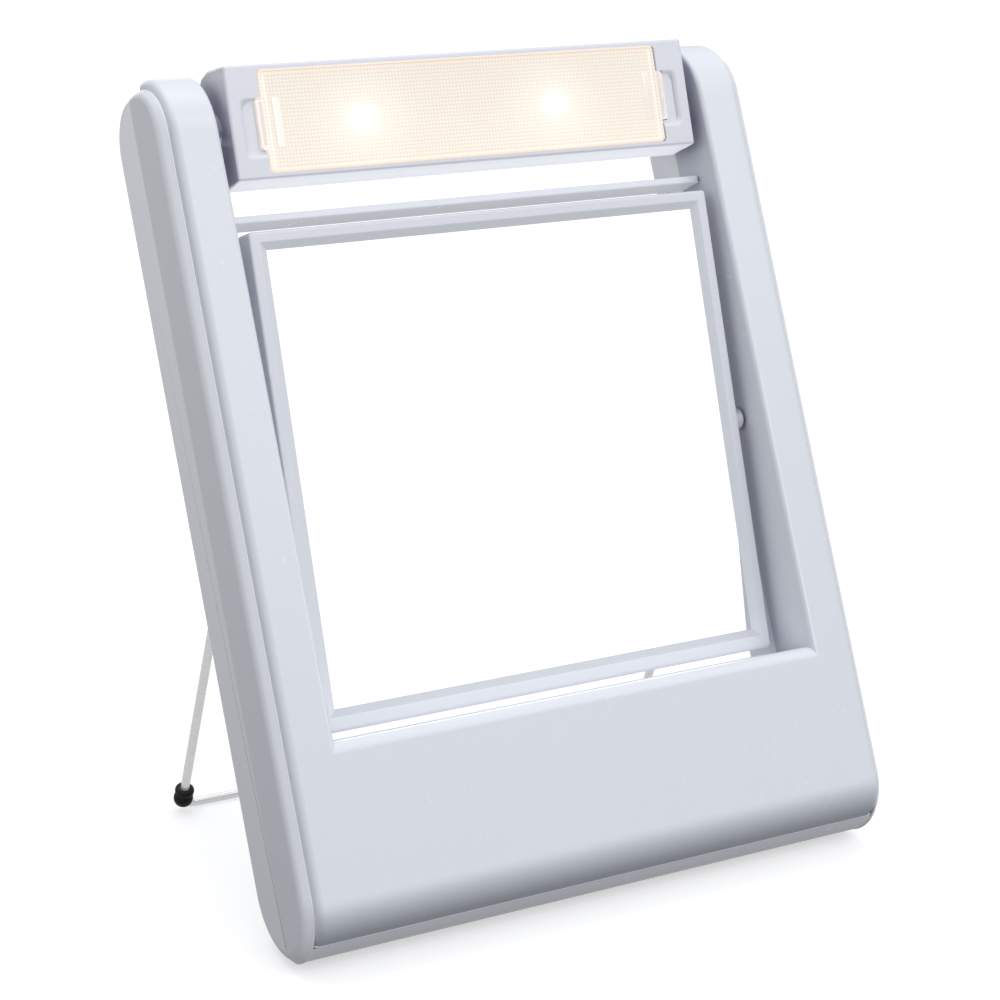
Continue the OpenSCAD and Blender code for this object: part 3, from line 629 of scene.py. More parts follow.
def diffuser(name):
    """Prismatic acrylic lit from behind: warm glow, two hot spots over the bulbs, clear gloss."""
    m = material(name)
    to_lamp = LAMP_AT.inverted()
    x, z = [m.add(m.dot(m.coords, to_lamp[i][:3]), to_lamp[i][3]) for i in (0, 2)]
    # the bulbs sit behind the sheet, so their glow slides with the viewing direction
    incoming = m.node("ShaderNodeNewGeometry").outputs["Incoming"]
    view = m.make("ShaderNodeVectorTransform", Vector=incoming, vector_type="VECTOR",
                  convert_from="WORLD", convert_to="OBJECT")
    dx, dy, dz = [m.dot(view, [-c * MM for c in to_lamp[i][:3]]) for i in range(3)]
    bulb_depth, least_slope = 4.6, 0.35
    depth = m.math("DIVIDE", bulb_depth, m.math("MAXIMUM", dy, least_slope))
    seen_x, seen_z = m.add(x, m.mul(dx, depth)), m.add(z, m.mul(dz, depth))
    # bulb x, gain of the bright core, gain of the halo; the spreads are in square mm
    core_spread, halo_spread, squeeze_x = 5.0, 70.0, 0.85
    spots = None
    for bulb_x, core_gain, halo_gain in ((-25.7, 1.15, 0.26), (25.7, 0.75, 0.22)):
        off_x = m.mul(m.math("SUBTRACT", seen_x, bulb_x), squeeze_x)
        off_z = m.add(seen_z, 0.0)
        square = m.add(m.mul(off_x, off_x), m.mul(off_z, off_z))
        core = m.math("EXPONENT", m.mul(square, -1 / core_spread))
        halo = m.math("EXPONENT", m.mul(square, -1 / halo_spread))
        spot = m.add(m.mul(core, core_gain), m.mul(halo, halo_gain))
        spots = m.add(spots, spot) if spots else spot
    # prism cells: slightly darker, warmer valleys between them
    cells = None
    for c in (x, z):
        phase = m.math("FRACT", m.math("DIVIDE", c, PRISM_PITCH))
        cell = m.mul(m.math("ABSOLUTE", m.math("SUBTRACT", phase, 0.5)), 2.0)
        cells = m.math("MAXIMUM", cells, cell) if cells else cell
    valley = m.remap(cells, (0.35, 1.0))
    # warm rim at the top and bottom edges, weaker at the ends
    rim_z = m.remap(m.math("ABSOLUTE", z), (10.2, 11.9))
    rim_x = m.remap(m.math("ABSOLUTE", x), (51.2, 52.9), (0.0, 0.3))
    rim = m.math("MAXIMUM", rim_z, rim_x, clamp=True)
    drift = m.noise(45.0, detail=3.0, rough=0.5)
    fall_off = m.remap(z, (-11.0, 11.0), (0.05, -0.03))
    cream = m.mix(m.remap(drift, (0.35, 0.65)), rgb(0.975, 0.915, 0.83), rgb(0.99, 0.945, 0.865))
    cream = m.mix(m.mul(valley, 0.6), cream, rgb(0.74, 0.62, 0.50))
    cream = m.mix(m.mul(rim, 0.55), cream, rgb(0.93, 0.62, 0.42))
    lit = m.mix(m.math("MINIMUM", spots, 1.0), cream, rgb(1.0, 0.985, 0.93))
    base_glow, spot_glow, gloss_share = 0.90, 0.5, 0.06
    strength = m.add(m.add(base_glow, fall_off), m.mul(spots, spot_glow))
    body = m.add_shader(m.emission(lit, strength), m.diffuse(rgb(0.16, 0.14, 0.12)))
    gloss = m.glossy(m.remap(drift, (0.3, 0.7), (0.08, 0.16)))
    return m.finish(m.mix_shader(gloss_share, body, gloss))


def clear_clip(name):
    """Clear acrylic with a painted glow in the lamp's colour, bright on its edges."""
    m = material(name)
    streak = m.noise(500.0, detail=3.0, rough=0.6, stretch=(3.0, 1.0, 0.5))
    clear = m.make("ShaderNodeBsdfTransparent", Color=rgb(0.97, 0.93, 0.90))
    gloss = m.glossy(m.remap(streak, (0.3, 0.7), (0.03, 0.12)))
    # painted glow standing in for lamp light seen through the clear clip
    glow = m.emission(rgb(1.0, 0.93, 0.88), strength=0.86)
    fresnel = m.make("ShaderNodeFresnel", IOR=1.5)
    body = m.mix_shader(m.remap(streak, (0.3, 0.7), (0.55, 0.95)), clear, glow)
    return m.finish(m.mix_shader(m.add(fresnel, 0.05, clamp=True), body, gloss))


LENS, CLIP = diffuser("lens_prismatic"), clear_clip("lens_clip")

# ---------------------------------------------------------------- case


def panel_foot(back):
    """Start of the panel outline: bottom back and the lower front curve."""
    r = PANEL_LOW_R
    return [(back, PANEL_LOW, 0, -1)] + arc(r, PANEL_LOW + r, r, -90, -180, 22)


def panel_outline(back, top=PANEL_TOP, radius=PANEL_TOP_R, steps=32):
    """Front panel in (y, z), from the bottom back round the front to the top back."""
    return (panel_foot(back) + arc(radius, top - radius, radius, 180, 90, steps)
            + [(back, top, 0, 1)])


def build_front_panel():
    edge, inner_r, outer_r = PANEL_X + FIT, 1.2, 2.0
    skin, arm_gap, sill_skin = 2.0, 1.8, 1.8
    outline = panel_outline(PART_Y)
    panel = sweep_x(outline, eased_ends(OPEN_X, edge, inner_r, outer_r, 7))
    union(panel, sweep_x(outline, eased_ends(-edge, -OPEN_X, outer_r, inner_r, 7)),
          extrude_x(panel_outline(PART_Y + FIT, SILL_Z, SILL_R, 12), -OPEN_X - 1.3, OPEN_X + 1.3))
    # hollow inside: two arm channels and the base
    inner = panel_outline(INNER_BACK)
    for s in (1, -1):
        channel = extrude_x(grow(inner, skin), *span(s, OPEN_X + arm_gap, PANEL_X - skin))
        subtract(panel, subtract(channel, box((-CASE_X, -5, 197.0), (CASE_X, 30, 210))))
    base = panel_foot(INNER_BACK) + [(0, SILL_Z - sill_skin, -1, 0),
                                     (INNER_BACK, SILL_Z - sill_skin, 0, 0)]
    subtract(panel, extrude_x(grow(base, skin), -PANEL_X + skin, PANEL_X - skin))
    # side returns stop inside the groove
    for s in (1, -1):
        subtract(panel, extrude_x(grow(inner, 3.2), *span(s, PANEL_X - 2.1, PANEL_X + 1)))
    # skin ends where it meets the shell, at the bottom and at the top
    subtract(panel, box((-CASE_X, 6.55, -1), (CASE_X, 18, PANEL_LOW + 2)))
    top = box((-CASE_X, 14.5, PANEL_TOP - 4), (CASE_X, 18, PANEL_TOP + 1))
    subtract(panel, subtract(top, box_pair((OPEN_X - 0.5, 14, 150),
                                           (OPEN_X + arm_gap, 19, CASE_H - WALL))))
    # holes in the inner arm walls on the mirror and lamp axes, and the slots
    holes = []
    for s in (1, -1):
        a, b = span(s, OPEN_X - 1, OPEN_X + 2.6)
        holes += [cyl("x", (0, MIRROR_Y, MIRROR_Z), 2.9, a, b),
                  cyl("x", (0, LAMP_Y, LAMP_Z), 4.7, a, b, 64),
                  box((a, 13.5, SLOT_Z[0]), (b, 18, SLOT_Z[1]))]
    return subtract(panel, holes)


def shell_sweep(outline, stations):
    """sweep_x() with the top lowered, most where the section is fullest, so that the
    panel's end stands proud."""
    rings = []
    for x, d in stations:
        drop = TOP_DROP * (1 - min(1.0, d / EDGE_R))
        rings.append([(x, y - ny * d, z - nz * d - (drop if z > 150 else 0.0))
                      for y, z, ny, nz in outline])
    return loft(rings)


def front_outline(back):
    return ([(back, 0, 0, -1)]
            + arc(FRONT_Y + FRONT_LOW_R, FRONT_LOW_R, FRONT_LOW_R, -90, -180, 26)
            + arc(FRONT_Y + TOP_R, CASE_H - TOP_R, TOP_R, 180, 90, 26)
            + [(back, CASE_H, 0, 1)])


def band_stations():
    """Right half of the shell's bevelled band, from the groove out to the side wall."""
    flat_end = (76.55, 0.98)
    points = [(75.0, 0.16), (75.05, 0.05), (75.16, 0.0), (75.36, 0.0), (75.62, 0.06), flat_end]
    # soft corner into the side wall
    a, b, c = Vector(flat_end), Vector((CASE_X, 1.83)), Vector((CASE_X, EDGE_R))
    for k in range(1, 8):
        t = k / 7
        p = a.lerp(b, t).lerp(b.lerp(c, t), t)
        points.append((p.x, p.y))
    return points


def build_front_shell():
    half = band_stations()
    stations = [(-x, d) for x, d in reversed(half)] + half
    shell = shell_sweep(front_outline(PART_Y + FIT), stations)
    hole = extrude_x(grow(panel_outline(INNER_BACK), -FIT), -PANEL_X + FIT, PANEL_X - FIT)
    subtract(hole, box((-80, 6.4, -2), (80, 25, PANEL_LOW)),
             box((-80, 14.5, CASE_H - WALL), (80, 25, PANEL_TOP + 1)))
    subtract(shell, hole, box((-OPEN_X - 1.85, 13.9, SILL_Z), (OPEN_X + 1.85, 18, PANEL_TOP + 1)))
    # rounded lip where the skin ends under the front curve: (radius, x)
    lip = [(0.08, 74.9), (0.42, 74.0), (0.55, 73.0)]
    union(shell, lathe("x", (0, 6.75, 3.72), [(r, -x) for r, x in lip] + lip[::-1], 32))
    for s in (1, -1):
        for z in SCREW_Z:
            at = (s * SCREW_X, 0, z)
            union(shell, subtract(cyl("y", at, 2.8, 4.5, PART_Y), cyl("y", at, 1.25, 8, 18)))
    return shell


def rear_outline(front):
    return ([(front, CASE_H, 0, 1)]
            + arc(CASE_D - TOP_R, CASE_H - TOP_R, TOP_R, 90, 0, 26)
            + arc(CASE_D - REAR_LOW_R, REAR_LOW_R, REAR_LOW_R, 0, -84, 30)
            + [(front, 0.07, 0, -1)])


def rear_body():
    return shell_sweep(rear_outline(PART_Y), eased_ends(-CASE_X, CASE_X, EDGE_R, EDGE_R, 10))


def door_box(inset_x, inset_z, y0, y1):
    return box((-DOOR_X + inset_x, y0, DOOR_LOW + inset_z),
               (DOOR_X - inset_x, y1, DOOR_TOP - inset_z))


def rear_inner_blocks():
    """Screw posts and the solid stock round the stand's legs, pivots and cross bar."""
    back = CASE_D - 1
    parts = [cyl("y", (s * SCREW_X, 0, z), 3.0, PART_Y, back) for s in (1, -1) for z in SCREW_Z]
    parts += box_pair((OPEN_X + 1, 23.2, 17), (70.4, back, PIVOT_Z + 5))
    parts += box_pair((OPEN_X - 1.6, 22.4, 4.5), (71.8, 27, 20.5))
    parts += box_pair((69, 23.2, PIVOT_Z - 4), (71.3, back, PIVOT_Z + 4))
    parts.append(box((-LEG_X, 23.2, 4), (LEG_X, 27, 9.6)))
    return union(parts[0], parts[1:])


def arm_opening():
    """Cutter between the arms, its rear edge eased like the outer one."""
    ease = 3.6
    stations = [(PART_Y - 3, 0.0)]
    for k in range(9):
        a = math.pi / 2 * k / 8
        stations.append((CASE_D - ease + ease * math.sin(a), ease * (1 - math.cos(a))))
    stations.append((CASE_D + 1.2, ease))
    return loft([[(-OPEN_X - d, y, SILL_Z - d), (OPEN_X + d, y, SILL_Z - d),
                  (OPEN_X + d, y, 220), (-OPEN_X - d, y, 220)] for y, d in stations])


def rear_cuts():
    beyond = 33     # y behind the case
    # grooves and pockets for the legs, pivots and the slots
    cuts = box_pair((LEG_X - 1.6, 25.2, 5), (LEG_X + 1.6, beyond, PIVOT_Z + 3))
    cuts += box_pair((LEG_X - 3.0, 24.4, 4.9), (LEG_X + 3.0, beyond, 18.6))
    cuts += box_pair((71.3, 24, PIVOT_Z - 3), (74, 29.6, PIVOT_Z + 3))
    cuts += box_pair((OPEN_X - 1, PART_Y - 1, SLOT_Z[0]), (OPEN_X + WALL + 1, 19.5, SLOT_Z[1]))
    # pivot holes, screw holes and their counterbores
    for s in (1, -1):
        a, b = span(s, LEG_X, LEG_X + 9)
        cuts.append(cyl("x", (0, PIVOT_Y, PIVOT_Z), WIRE_R + 0.06, a, b, 32))
        for z in SCREW_Z:
            at = (s * SCREW_X, 0, z)
            cuts += [cyl("y", at, 1.4, PART_Y - 1, beyond, 32),
                     lathe("y", at, [(2.4, CASE_D - 2.6), (2.4, CASE_D - 0.5),
                                     (2.9, CASE_D + 0.2)], 40)]
    # groove for the cross bar, door opening and its rebate, switch recess and window
    cuts.append(box((-LEG_X, 25.6, 4.9), (LEG_X, beyond, 8.9)))
    cuts.append(door_box(1, 0.6, 20, beyond))
    cuts.append(door_box(-0.1, -0.1, CASE_D - 1.2, beyond))
    cuts.append(box((CASE_X - 1.1, 17.6, 54), (CASE_X + 1, 24.9, 67)))
    cuts.append(box((CASE_X - 4, 19.2, 56), (CASE_X + 1, 23.3, 65)))
    # pad seats, square to the floor
    for s in (1, -1):
        a, b = span(s, 43.96, 60.04)
        pad = box((a, -2.24, -REAR_LOW_R - PAD_PROUD), (b, 2.24, -15.36))
        pad.data.transform(move(0, CASE_D - REAR_LOW_R, REAR_LOW_R) @ tilt(LEAN))
        cuts.append(pad)
    return cuts


def build_rear_shell():
    shell = rear_body()
    inner_x = CASE_X - WALL
    cavity = sweep_x(grow(rear_outline(PART_Y - 1), WALL),
                     eased_ends(-inner_x, inner_x, 2.3, 2.3, 6))
    subtract(cavity, box((-OPEN_X - WALL, 0, SILL_Z - WALL), (OPEN_X + WALL, 40, 220)))
    subtract(shell, cavity)
    body = rear_body()
    union(shell, boolean(rear_inner_blocks(), body, "INTERSECT"))
    return subtract(shell, arm_opening(), rear_cuts())


def build_door():
    """Plate with a shallow finger recess, six ribs in it, and a raised lip inside."""
    door = subtract(door_box(0, 0, CASE_D - 1.2, CASE_D - 0.02),
                    box((-8.6, CASE_D - 0.55, 35.4), (8.6, 33, 41.6)))
    union(door, subtract(door_box(1.2, 0.8, CASE_D - 2.6, CASE_D - 1.1),
                         door_box(2.4, 2, CASE_D - 3, CASE_D - 1.4)))
    for k in range(6):
        union(door, cyl("x", (0, CASE_D - 0.62, 36.0 + k * 1.0), 0.36, -8.2, 8.2, 16))
    return door


for build, name, body, mat, replaced in (
        (build_front_panel, "front_panel_moulding", "case", WHITE, "front_panel"),
        (build_front_shell, "front_shell_moulding", "case", WHITE_BAND, "front_shell"),
        (build_rear_shell, "rear_shell_moulding", "case", WHITE_REAR, "rear_shell"),
        (build_door, "battery_door_moulding", "door", WHITE_REAR, "battery_door")):
    piece(build(), name, CASE_AT, body, mat, replaced)

# ---------------------------------------------------------------- mirror leaf
# rim section, (inset from the outer edge, y): outer edge, flat, inner bevel, glass seat
SEAT_INSET = 3.42
RIM_SECTION = [
    (0.0, 0.0), (0.0, -2.95), (0.05, -3.18), (0.17, -3.36), (0.35, -3.47), (0.6, -3.5),
    (2.30, -3.5), (2.48, -3.46), (2.62, -3.36), (4.13, -2.33), (4.25, -2.21),
    (SEAT_INSET, -2.2), (SEAT_INSET, 0.0)]
LOW_EXTRA = 0.85    # the rim's face is this much wider along the bottom


def rim_ring():
    """The rim section swept round the leaf."""
    rings = []
    for d, y in RIM_SECTION:
        low = d if d == SEAT_INSET else d + (LOW_EXTRA if d > 1 else LOW_EXTRA * d)
        r = max(0.9 - d, 0.02)
        x, top, bottom = LEAF_X - d - r, LEAF_Z - d - r, -LEAF_Z + low + r
        ring = []
        for cx, cz, start in ((x, top, 0), (-x, top, 90), (-x, bottom, 180), (x, bottom, 270)):
            ring += [(u, y, v) for u, v, _, _ in arc(cx, cz, r, start, start + 90, 5)]
        rings.append(ring)
    return loft(rings, closed=True)


def leaf_frame():
    """Front half of the leaf's rim, with half a pivot boss at each side."""
    rim = rim_ring()
    boss_r, tip = 2.5, LEAF_X + 2.5
    for s in (1, -1):
        boss = lathe("x", (0, 0, 0), to_side(
            [(boss_r, LEAF_X - 1.2), (boss_r, tip - 0.35), (2.15, tip)], s), 40)
        a, b = span(s, LEAF_X - 1.2, tip)
        union(rim, boolean(boss, box((a - 1, -5, -5), (b + 1, 0, 5)), "INTERSECT"))
        subtract(rim, cyl("x", (0, 0, 0), 1.6, *span(s, LEAF_X - 3.1, LEAF_X + 4), 32))
    return rim


for part, at in (("front", MIRROR_AT), ("rear", MIRROR_AT @ Matrix.Diagonal((1, -1, 1, 1)))):
    piece(leaf_frame(), "mirror_rim_" + part, at, "mirror", WHITE_FRAME,
          "mirror_" + part + "_frame")

# ---------------------------------------------------------------- lamp bar


def lamp_z(y):
    """Half height of the tapered lamp bar at y."""
    return LAMP_HALF_H + (y + LAMP_HALF_D) * 0.108


def finger_dish(side):
    """Shallow hollow with soft sides, cut into the bezel's face at one end."""
    def outline(d):
        return round_rect(52.0, 57.0 + d * 0.8, -7.2 - d, 4.4 + d, [0.05, 1.6, 1.6, 0.05])

    depth, flare = 0.9, 1.7
    rings = []
    for k in range(9):
        a = math.pi / 2 * k / 8
        y = LAMP_FRONT + depth - 0.95 * math.sin(a)
        rings.append([(side * x, y, z) for x, z, _, _ in outline(flare * (1 - math.cos(a)))])
    rings.append([(x, LAMP_FRONT - 1, z) for x, _, z in rings[-1]])
    return loft(rings)


def build_bezel():
    section = round_polygon([(LAMP_FRONT, -LAMP_HALF_H), (LAMP_PART, -lamp_z(LAMP_PART)),
                             (LAMP_PART, lamp_z(LAMP_PART)), (LAMP_FRONT, LAMP_HALF_H)],
                            [0.7, 0.02, 0.02, 0.7])
    section = [(y, z, ny if y < LAMP_PART - 0.1 else 0.0, nz) for y, z, ny, nz in section]
    bezel = sweep_x(section, eased_ends(-LAMP_X, LAMP_X, 0.65, 0.65, 5))
    front, back, inner_x = -7.2, LAMP_PART + 1, LAMP_X - LAMP_WALL
    inner = [(y, sign * (lamp_z(y) - LAMP_WALL), 0, 0)
             for y, sign in ((front, -1), (back, -1), (back, 1), (front, 1))]
    subtract(bezel, extrude_x(inner, -inner_x, inner_x))
    union(bezel, [cyl("y", (s * POST_X, 0, z), 2.4, -7.6, -3.0, 40)
                  for s in (1, -1) for z in POST_Z])
    window = round_rect(-52.7, 52.7, -11.8, 11.8, [0.9] * 4, 5)
    subtract(bezel, sweep_y(window, [(LAMP_FRONT - 1, 0), (LAMP_PART + 3, 0)]))
    for s in (1, -1):
        subtract(bezel, [cyl("y", (s * POST_X, 0, z), 1.05, -6.9, 0, 24) for z in POST_Z])
        a, b = span(s, 51.3, 54.1)
        subtract(bezel, box((a, LAMP_FRONT - 1, -6.6), (b, LAMP_PART + 1, 5.6)), finger_dish(s))
    return bezel


def housing_outline(wall, radii):
    """Closed outline from the parting plane round the back; radii are for its lower half."""
    half = [(LAMP_PART, lamp_z(LAMP_PART) - wall), (1, lamp_z(1) - wall),
            (5.4 - wall * 0.4, 13.1 - wall), (LAMP_HALF_D - wall, 8.6 - wall * 0.5)]
    return round_polygon([(y, -z) for y, z in half] + half[::-1], radii + radii[::-1])


def build_housing():
    section = [(y, z, 0.0 if y < LAMP_PART + 0.1 else ny, nz)
               for y, z, ny, nz in housing_outline(0, [0.02, 6, 3, 3.2])]
    housing = sweep_x(section, eased_ends(-LAMP_X, LAMP_X, 0.9, 0.9, 6))
    cavity = [(y - 3 if y < LAMP_PART + 0.1 else y, z, 0, 0)
              for y, z, _, _ in housing_outline(LAMP_WALL, [0.02, 4, 1.6, 1.6])]
    inner_x = LAMP_X - LAMP_WALL
    subtract(housing, extrude_x(cavity, -inner_x, inner_x))
    for s in (1, -1):
        union(housing, cyl("x", (0, 0, 0), 3.5, *span(s, inner_x, 69.6), 56),
              [cyl("y", (s * POST_X, 0, z), 3.0, -2.9, 7.2, 40) for z in POST_Z])
    for s in (1, -1):
        subtract(housing, cyl("x", (0, 0, 0), 1.7, *span(s, LAMP_X - 3, 71), 32))
        for z in POST_Z:
            at = (s * POST_X, 0, z)
            subtract(housing, cyl("y", at, 1.15, -4, 12, 24),
                     cyl("y", at, 2.1, LAMP_HALF_D - 3.6, 12, 32))
    return housing


for build, part in ((build_bezel, "lamp_bezel"), (build_housing, "lamp_housing")):
    piece(build(), part + "_moulding", LAMP_AT, "lamp", WHITE_LAMP, part)


def build_lens():
    """Sheet with a smooth rim and a field of small four-sided prisms on its face."""
    prism_h, nx, nz = 0.20, 118, 25
    field_x, field_z = nx * PRISM_PITCH / 2, nz * PRISM_PITCH / 2
    front, back = LAMP_FRONT + 0.30, LAMP_FRONT + 1.8
    width, height, corner_r = 52.3, 11.7, 0.8
    bm = bmesh.new()

    def vertex(i, y, j):
        return bm.verts.new((-field_x + i * PRISM_PITCH, y, -field_z + j * PRISM_PITCH))

    grid = [[vertex(i, front, j) for j in range(nz + 1)] for i in range(nx + 1)]
    for i in range(nx):
        for j in range(nz):
            tip = vertex(i + 0.5, front - prism_h, j + 0.5)
            q = (grid[i][j], grid[i + 1][j], grid[i + 1][j + 1], grid[i][j + 1])
            for k in range(4):
                bm.faces.new((q[k], q[(k + 1) % 4], tip))
    border = ([grid[i][0] for i in range(nx)] + [grid[nx][j] for j in range(nz)]
              + [grid[i][nz] for i in range(nx, 0, -1)] + [grid[0][j] for j in range(nz, 0, -1)])

    def ring(w, h, y):
        """The field's border stretched to a rounded rectangle of half size w, h."""
        out = []
        for v in border:
            x = max(-w, min(w, v.co.x * w / field_x))
            z = max(-h, min(h, v.co.z * h / field_z))
            if w - abs(x) < corner_r and h - abs(z) < corner_r:
                cx, cz = math.copysign(w - corner_r, x), math.copysign(h - corner_r, z)
                dx, dz = x - cx, z - cz
                length = math.hypot(dx, dz) or 1
                x, z = cx + dx / length * corner_r, cz + dz / length * corner_r
            out.append(bm.verts.new((x, y, z)))
        return out

    # rim: inset in x, inset in z, y; out to the outline, then down the side
    rim = [(0.75, 0.5, front - 0.02), (0.45, 0.28, LAMP_FRONT + 0.05),
           (0.12, 0.1, LAMP_FRONT + 0.08), (0, 0, LAMP_FRONT + 0.22), (0, 0, back)]
    rings = [border] + [ring(width - dx, height - dz, y) for dx, dz, y in rim]
    for a, b in zip(rings, rings[1:]):
        bridge(bm, a, b)
    bm.faces.new(rings[-1])
    return obj_of(bm)


piece(build_lens(), "lens_sheet", LAMP_AT, "diffuser", LENS, "lamp_lens",
      sharp=20, dissolve=0)


def build_loop(side, outer, inner, stations, floor_y):
    """Raised clear loop: an outer outline with an inner one sunk to floor_y."""
    return subtract(sweep_y(outer, stations, side),
                    sweep_y(inner, [(LAMP_FRONT - 1, 0), (floor_y, 0)], side))


def build_clip(side):
    """Clear clip at one end of the diffuser."""
    x = 51.6
    return build_loop(side, round_rect(x, x + 2.35, -6.5, 5.5, [0.5, 1.0, 1.0, 0.5]),
                      round_rect(x + 0.75, x + 1.55, -5.5, 4.5, [0.35] * 4),
                      [(LAMP_FRONT + 0.18, 0.25), (LAMP_FRONT + 0.08, 0.0),
                       (LAMP_FRONT + 3.5, 0.0)], LAMP_FRONT + 2.9)


def build_grip(side):
    """Shallower loop on the sheet just inside each clip."""
    return build_loop(side, round_rect(47.9, 50.1, -6.3, 5.3, [0.45] * 4, 5),
                      round_rect(48.65, 49.35, -5.5, 4.5, [0.25] * 4, 5),
                      [(LAMP_FRONT - 0.12, 0.22), (LAMP_FRONT, 0.0), (LAMP_FRONT + 0.6, 0.0)],
                      LAMP_FRONT + 0.02)


SIDES = ((-1, "left"), (1, "right"))
for s, side_name in SIDES:
    piece(build_clip(s), "lens_clip_" + side_name, LAMP_AT, "diffuser", CLIP)
    piece(build_grip(s), "lens_grip_" + side_name, LAMP_AT, "diffuser", CLIP)

# ---------------------------------------------------------------- stand
# drawn in the leg's frame: y runs from the pivot down to the cross bar


def tube(points, radius, sides):
    """Round wire along a smooth path, its rings carried along without twist."""
    first = (points[1] - points[0]).normalized()
    up = Vector((0, 0, 1)) if abs(first.z) < 0.9 else Vector((0, 1, 0))
    u = first.cross(up).normalized()
    rings = []
    for i, p in enumerate(points):
        along = (points[min(i + 1, len(points) - 1)] - points[max(i - 1, 0)]).normalized()
        u = (u - along * u.dot(along)).normalized()
        w = along.cross(u)
        angles = [2 * math.pi * k / sides for k in range(sides)]
        rings.append([tuple(p + u * (radius * math.cos(a)) + w * (radius * math.sin(a)))
                      for a in angles])
    return loft(rings)


def bent(path, radii, steps):
    """Polyline with its corners turned into arcs."""
    out = [Vector(path[0])]
    for i, radius in enumerate(radii, 1):
        corner = Vector(path[i])
        before = (Vector(path[i - 1]) - corner).normalized()
        after = (Vector(path[i + 1]) - corner).normalized()
        half = math.acos(before.dot(after)) / 2
        setback = radius / math.tan(half)
        center = corner + (before + after).normalized() * (radius / math.sin(half))
        start, end = (corner + before * setback) - center, (corner + after * setback) - center
        for k in range(steps + 1):
            out.append(center + start.slerp(end, k / steps).normalized() * start.length)
    out.append(Vector(path[-1]))
    return out


def build_wire():
    end_x, pivot_bend_r = 72.5, 1.35
    path = [(end_x, 0, 0), (LEG_X, 0, 0), (LEG_X, LEG_LENGTH, 0),
            (-LEG_X, LEG_LENGTH, 0), (-LEG_X, 0, 0), (-end_x, 0, 0)]
    wire = tube(bent(path, [pivot_bend_r, WIRE_BEND_R, WIRE_BEND_R, pivot_bend_r], 12), WIRE_R, 28)
    head = [(1.1, 71.9), (1.9, 72.05), (1.9, 72.55), (1.55, 72.8)]     # (radius, x)
    return union(wire, [lathe("x", (0, 0, 0), to_side(head, s), 32) for s in (1, -1)])


# two-bead rubber sleeve, (radius, y)
FOOT_PROFILE = [
    (1.25, -4.4), (1.85, -4.4), (2.1, -4.27), (2.32, -4.0), (2.42, -3.55), (2.36, -3.05),
    (2.14, -2.6), (2.0, -2.3), (2.15, -2.0), (2.35, -1.65), (2.46, -1.1), (2.42, -0.5),
    (2.26, 0.1), (1.95, 0.65), (1.5, 1.02), (0.95, 1.22), (0.4, 1.28)]


def build_foot(side):
    """Sleeve over one corner of the wire."""
    foot = lathe("y", (0, 0, 0), FOOT_PROFILE, 44)
    foot.data.transform(move(side * LEG_X, LEG_LENGTH - 1.6, 0))
    return foot


piece(build_wire(), "stand_wire_bent", LEG_AT, "stand", WIRE, "stand_wire",
      sharp=40, dissolve=0)
for s, side_name in SIDES:
    piece(build_foot(s), "stand_foot_" + side_name, LEG_AT, "stand", RUBBER,
          "stand_feet" if s < 0 else None, sharp=50, dissolve=0)

# ---------------------------------------------------------------- CAD pieces that stay
NODE_MATERIALS = {
    "cross_plate": WHITE_PLATE, "case_screws": STEEL, "anti_slip_pads": PAD,
    "battery_tray": TRAY, "battery_cells": JACKET, "battery_springs": SPRING,
    "battery_contacts": NICKEL, "switch_body": BLACK, "switch_knob": BLACK,
    "case_leads": SLEEVE, "stand_washers": ACETAL, "mirror_glass_plain": MIRROR,
    "mirror_glass_magnifying": MIRROR, "mirror_core_pad": CARD, "mirror_pins": SPRING,
    "mirror_bushes": ACETAL, "lamp_reflector": REFLECT, "lamp_bulbs": BULB,
    "bulb_filaments": FILAMENT, "bulb_bases": BRASS, "bulb_holders": HOLDER,
    "lamp_leads": SLEEVE, "lamp_screws": STEEL, "lamp_bushes": ACETAL, "lamp_washers": SPRING,
}
# bevel widths, mm
EASED = {"cross_plate": 0.35, "anti_slip_pads": 0.2, "switch_knob": 0.2, "switch_body": 0.15,
         "battery_tray": 0.3, "mirror_bushes": 0.15, "lamp_bushes": 0.15}


def ease_edges(obj, width):
    weld = obj.modifiers.new("weld", "WELD")
    weld.merge_threshold = 1e-6
    flat = obj.modifiers.new("flat", "DECIMATE")
    flat.decimate_type, flat.angle_limit = "DISSOLVE", math.radians(0.5)
    bevel = obj.modifiers.new("ease", "BEVEL")
    bevel.width, bevel.segments = width * MM, 3
    bevel.limit_method, bevel.angle_limit = "ANGLE", math.radians(35)
    bevel.use_clamp_overlap, bevel.harden_normals = True, True


for name, mat in NODE_MATERIALS.items():
    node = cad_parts[name]
    node.data.materials.clear()
    node.data.materials.append(mat)
    if name in EASED:
        ease_edges(node, EASED[name])

# ---------------------------------------------------------------- floor


def floor_material():
    """Pale to the camera, dim to bounced light, bright in reflections."""
    m = material("floor_pale")
    speck = m.noise(30.0, detail=3.0, rough=0.5)
    pale = m.diffuse(m.mix(speck, rgb(0.60, 0.60, 0.605), rgb(0.615, 0.615, 0.62)))
    seen = m.add_shader(pale, m.emission(rgb(1, 1, 1), strength=0.55))
    dim = m.diffuse(rgb(0.11, 0.115, 0.13))
    glint = m.emission(rgb(0.97, 0.98, 1), strength=0.52)
    ray = m.node("ShaderNodeLightPath").outputs
    unseen = m.mix_shader(ray["Is Glossy Ray"], dim, glint)
    return m.finish(m.mix_shader(ray["Is Camera Ray"], unseen, seen))


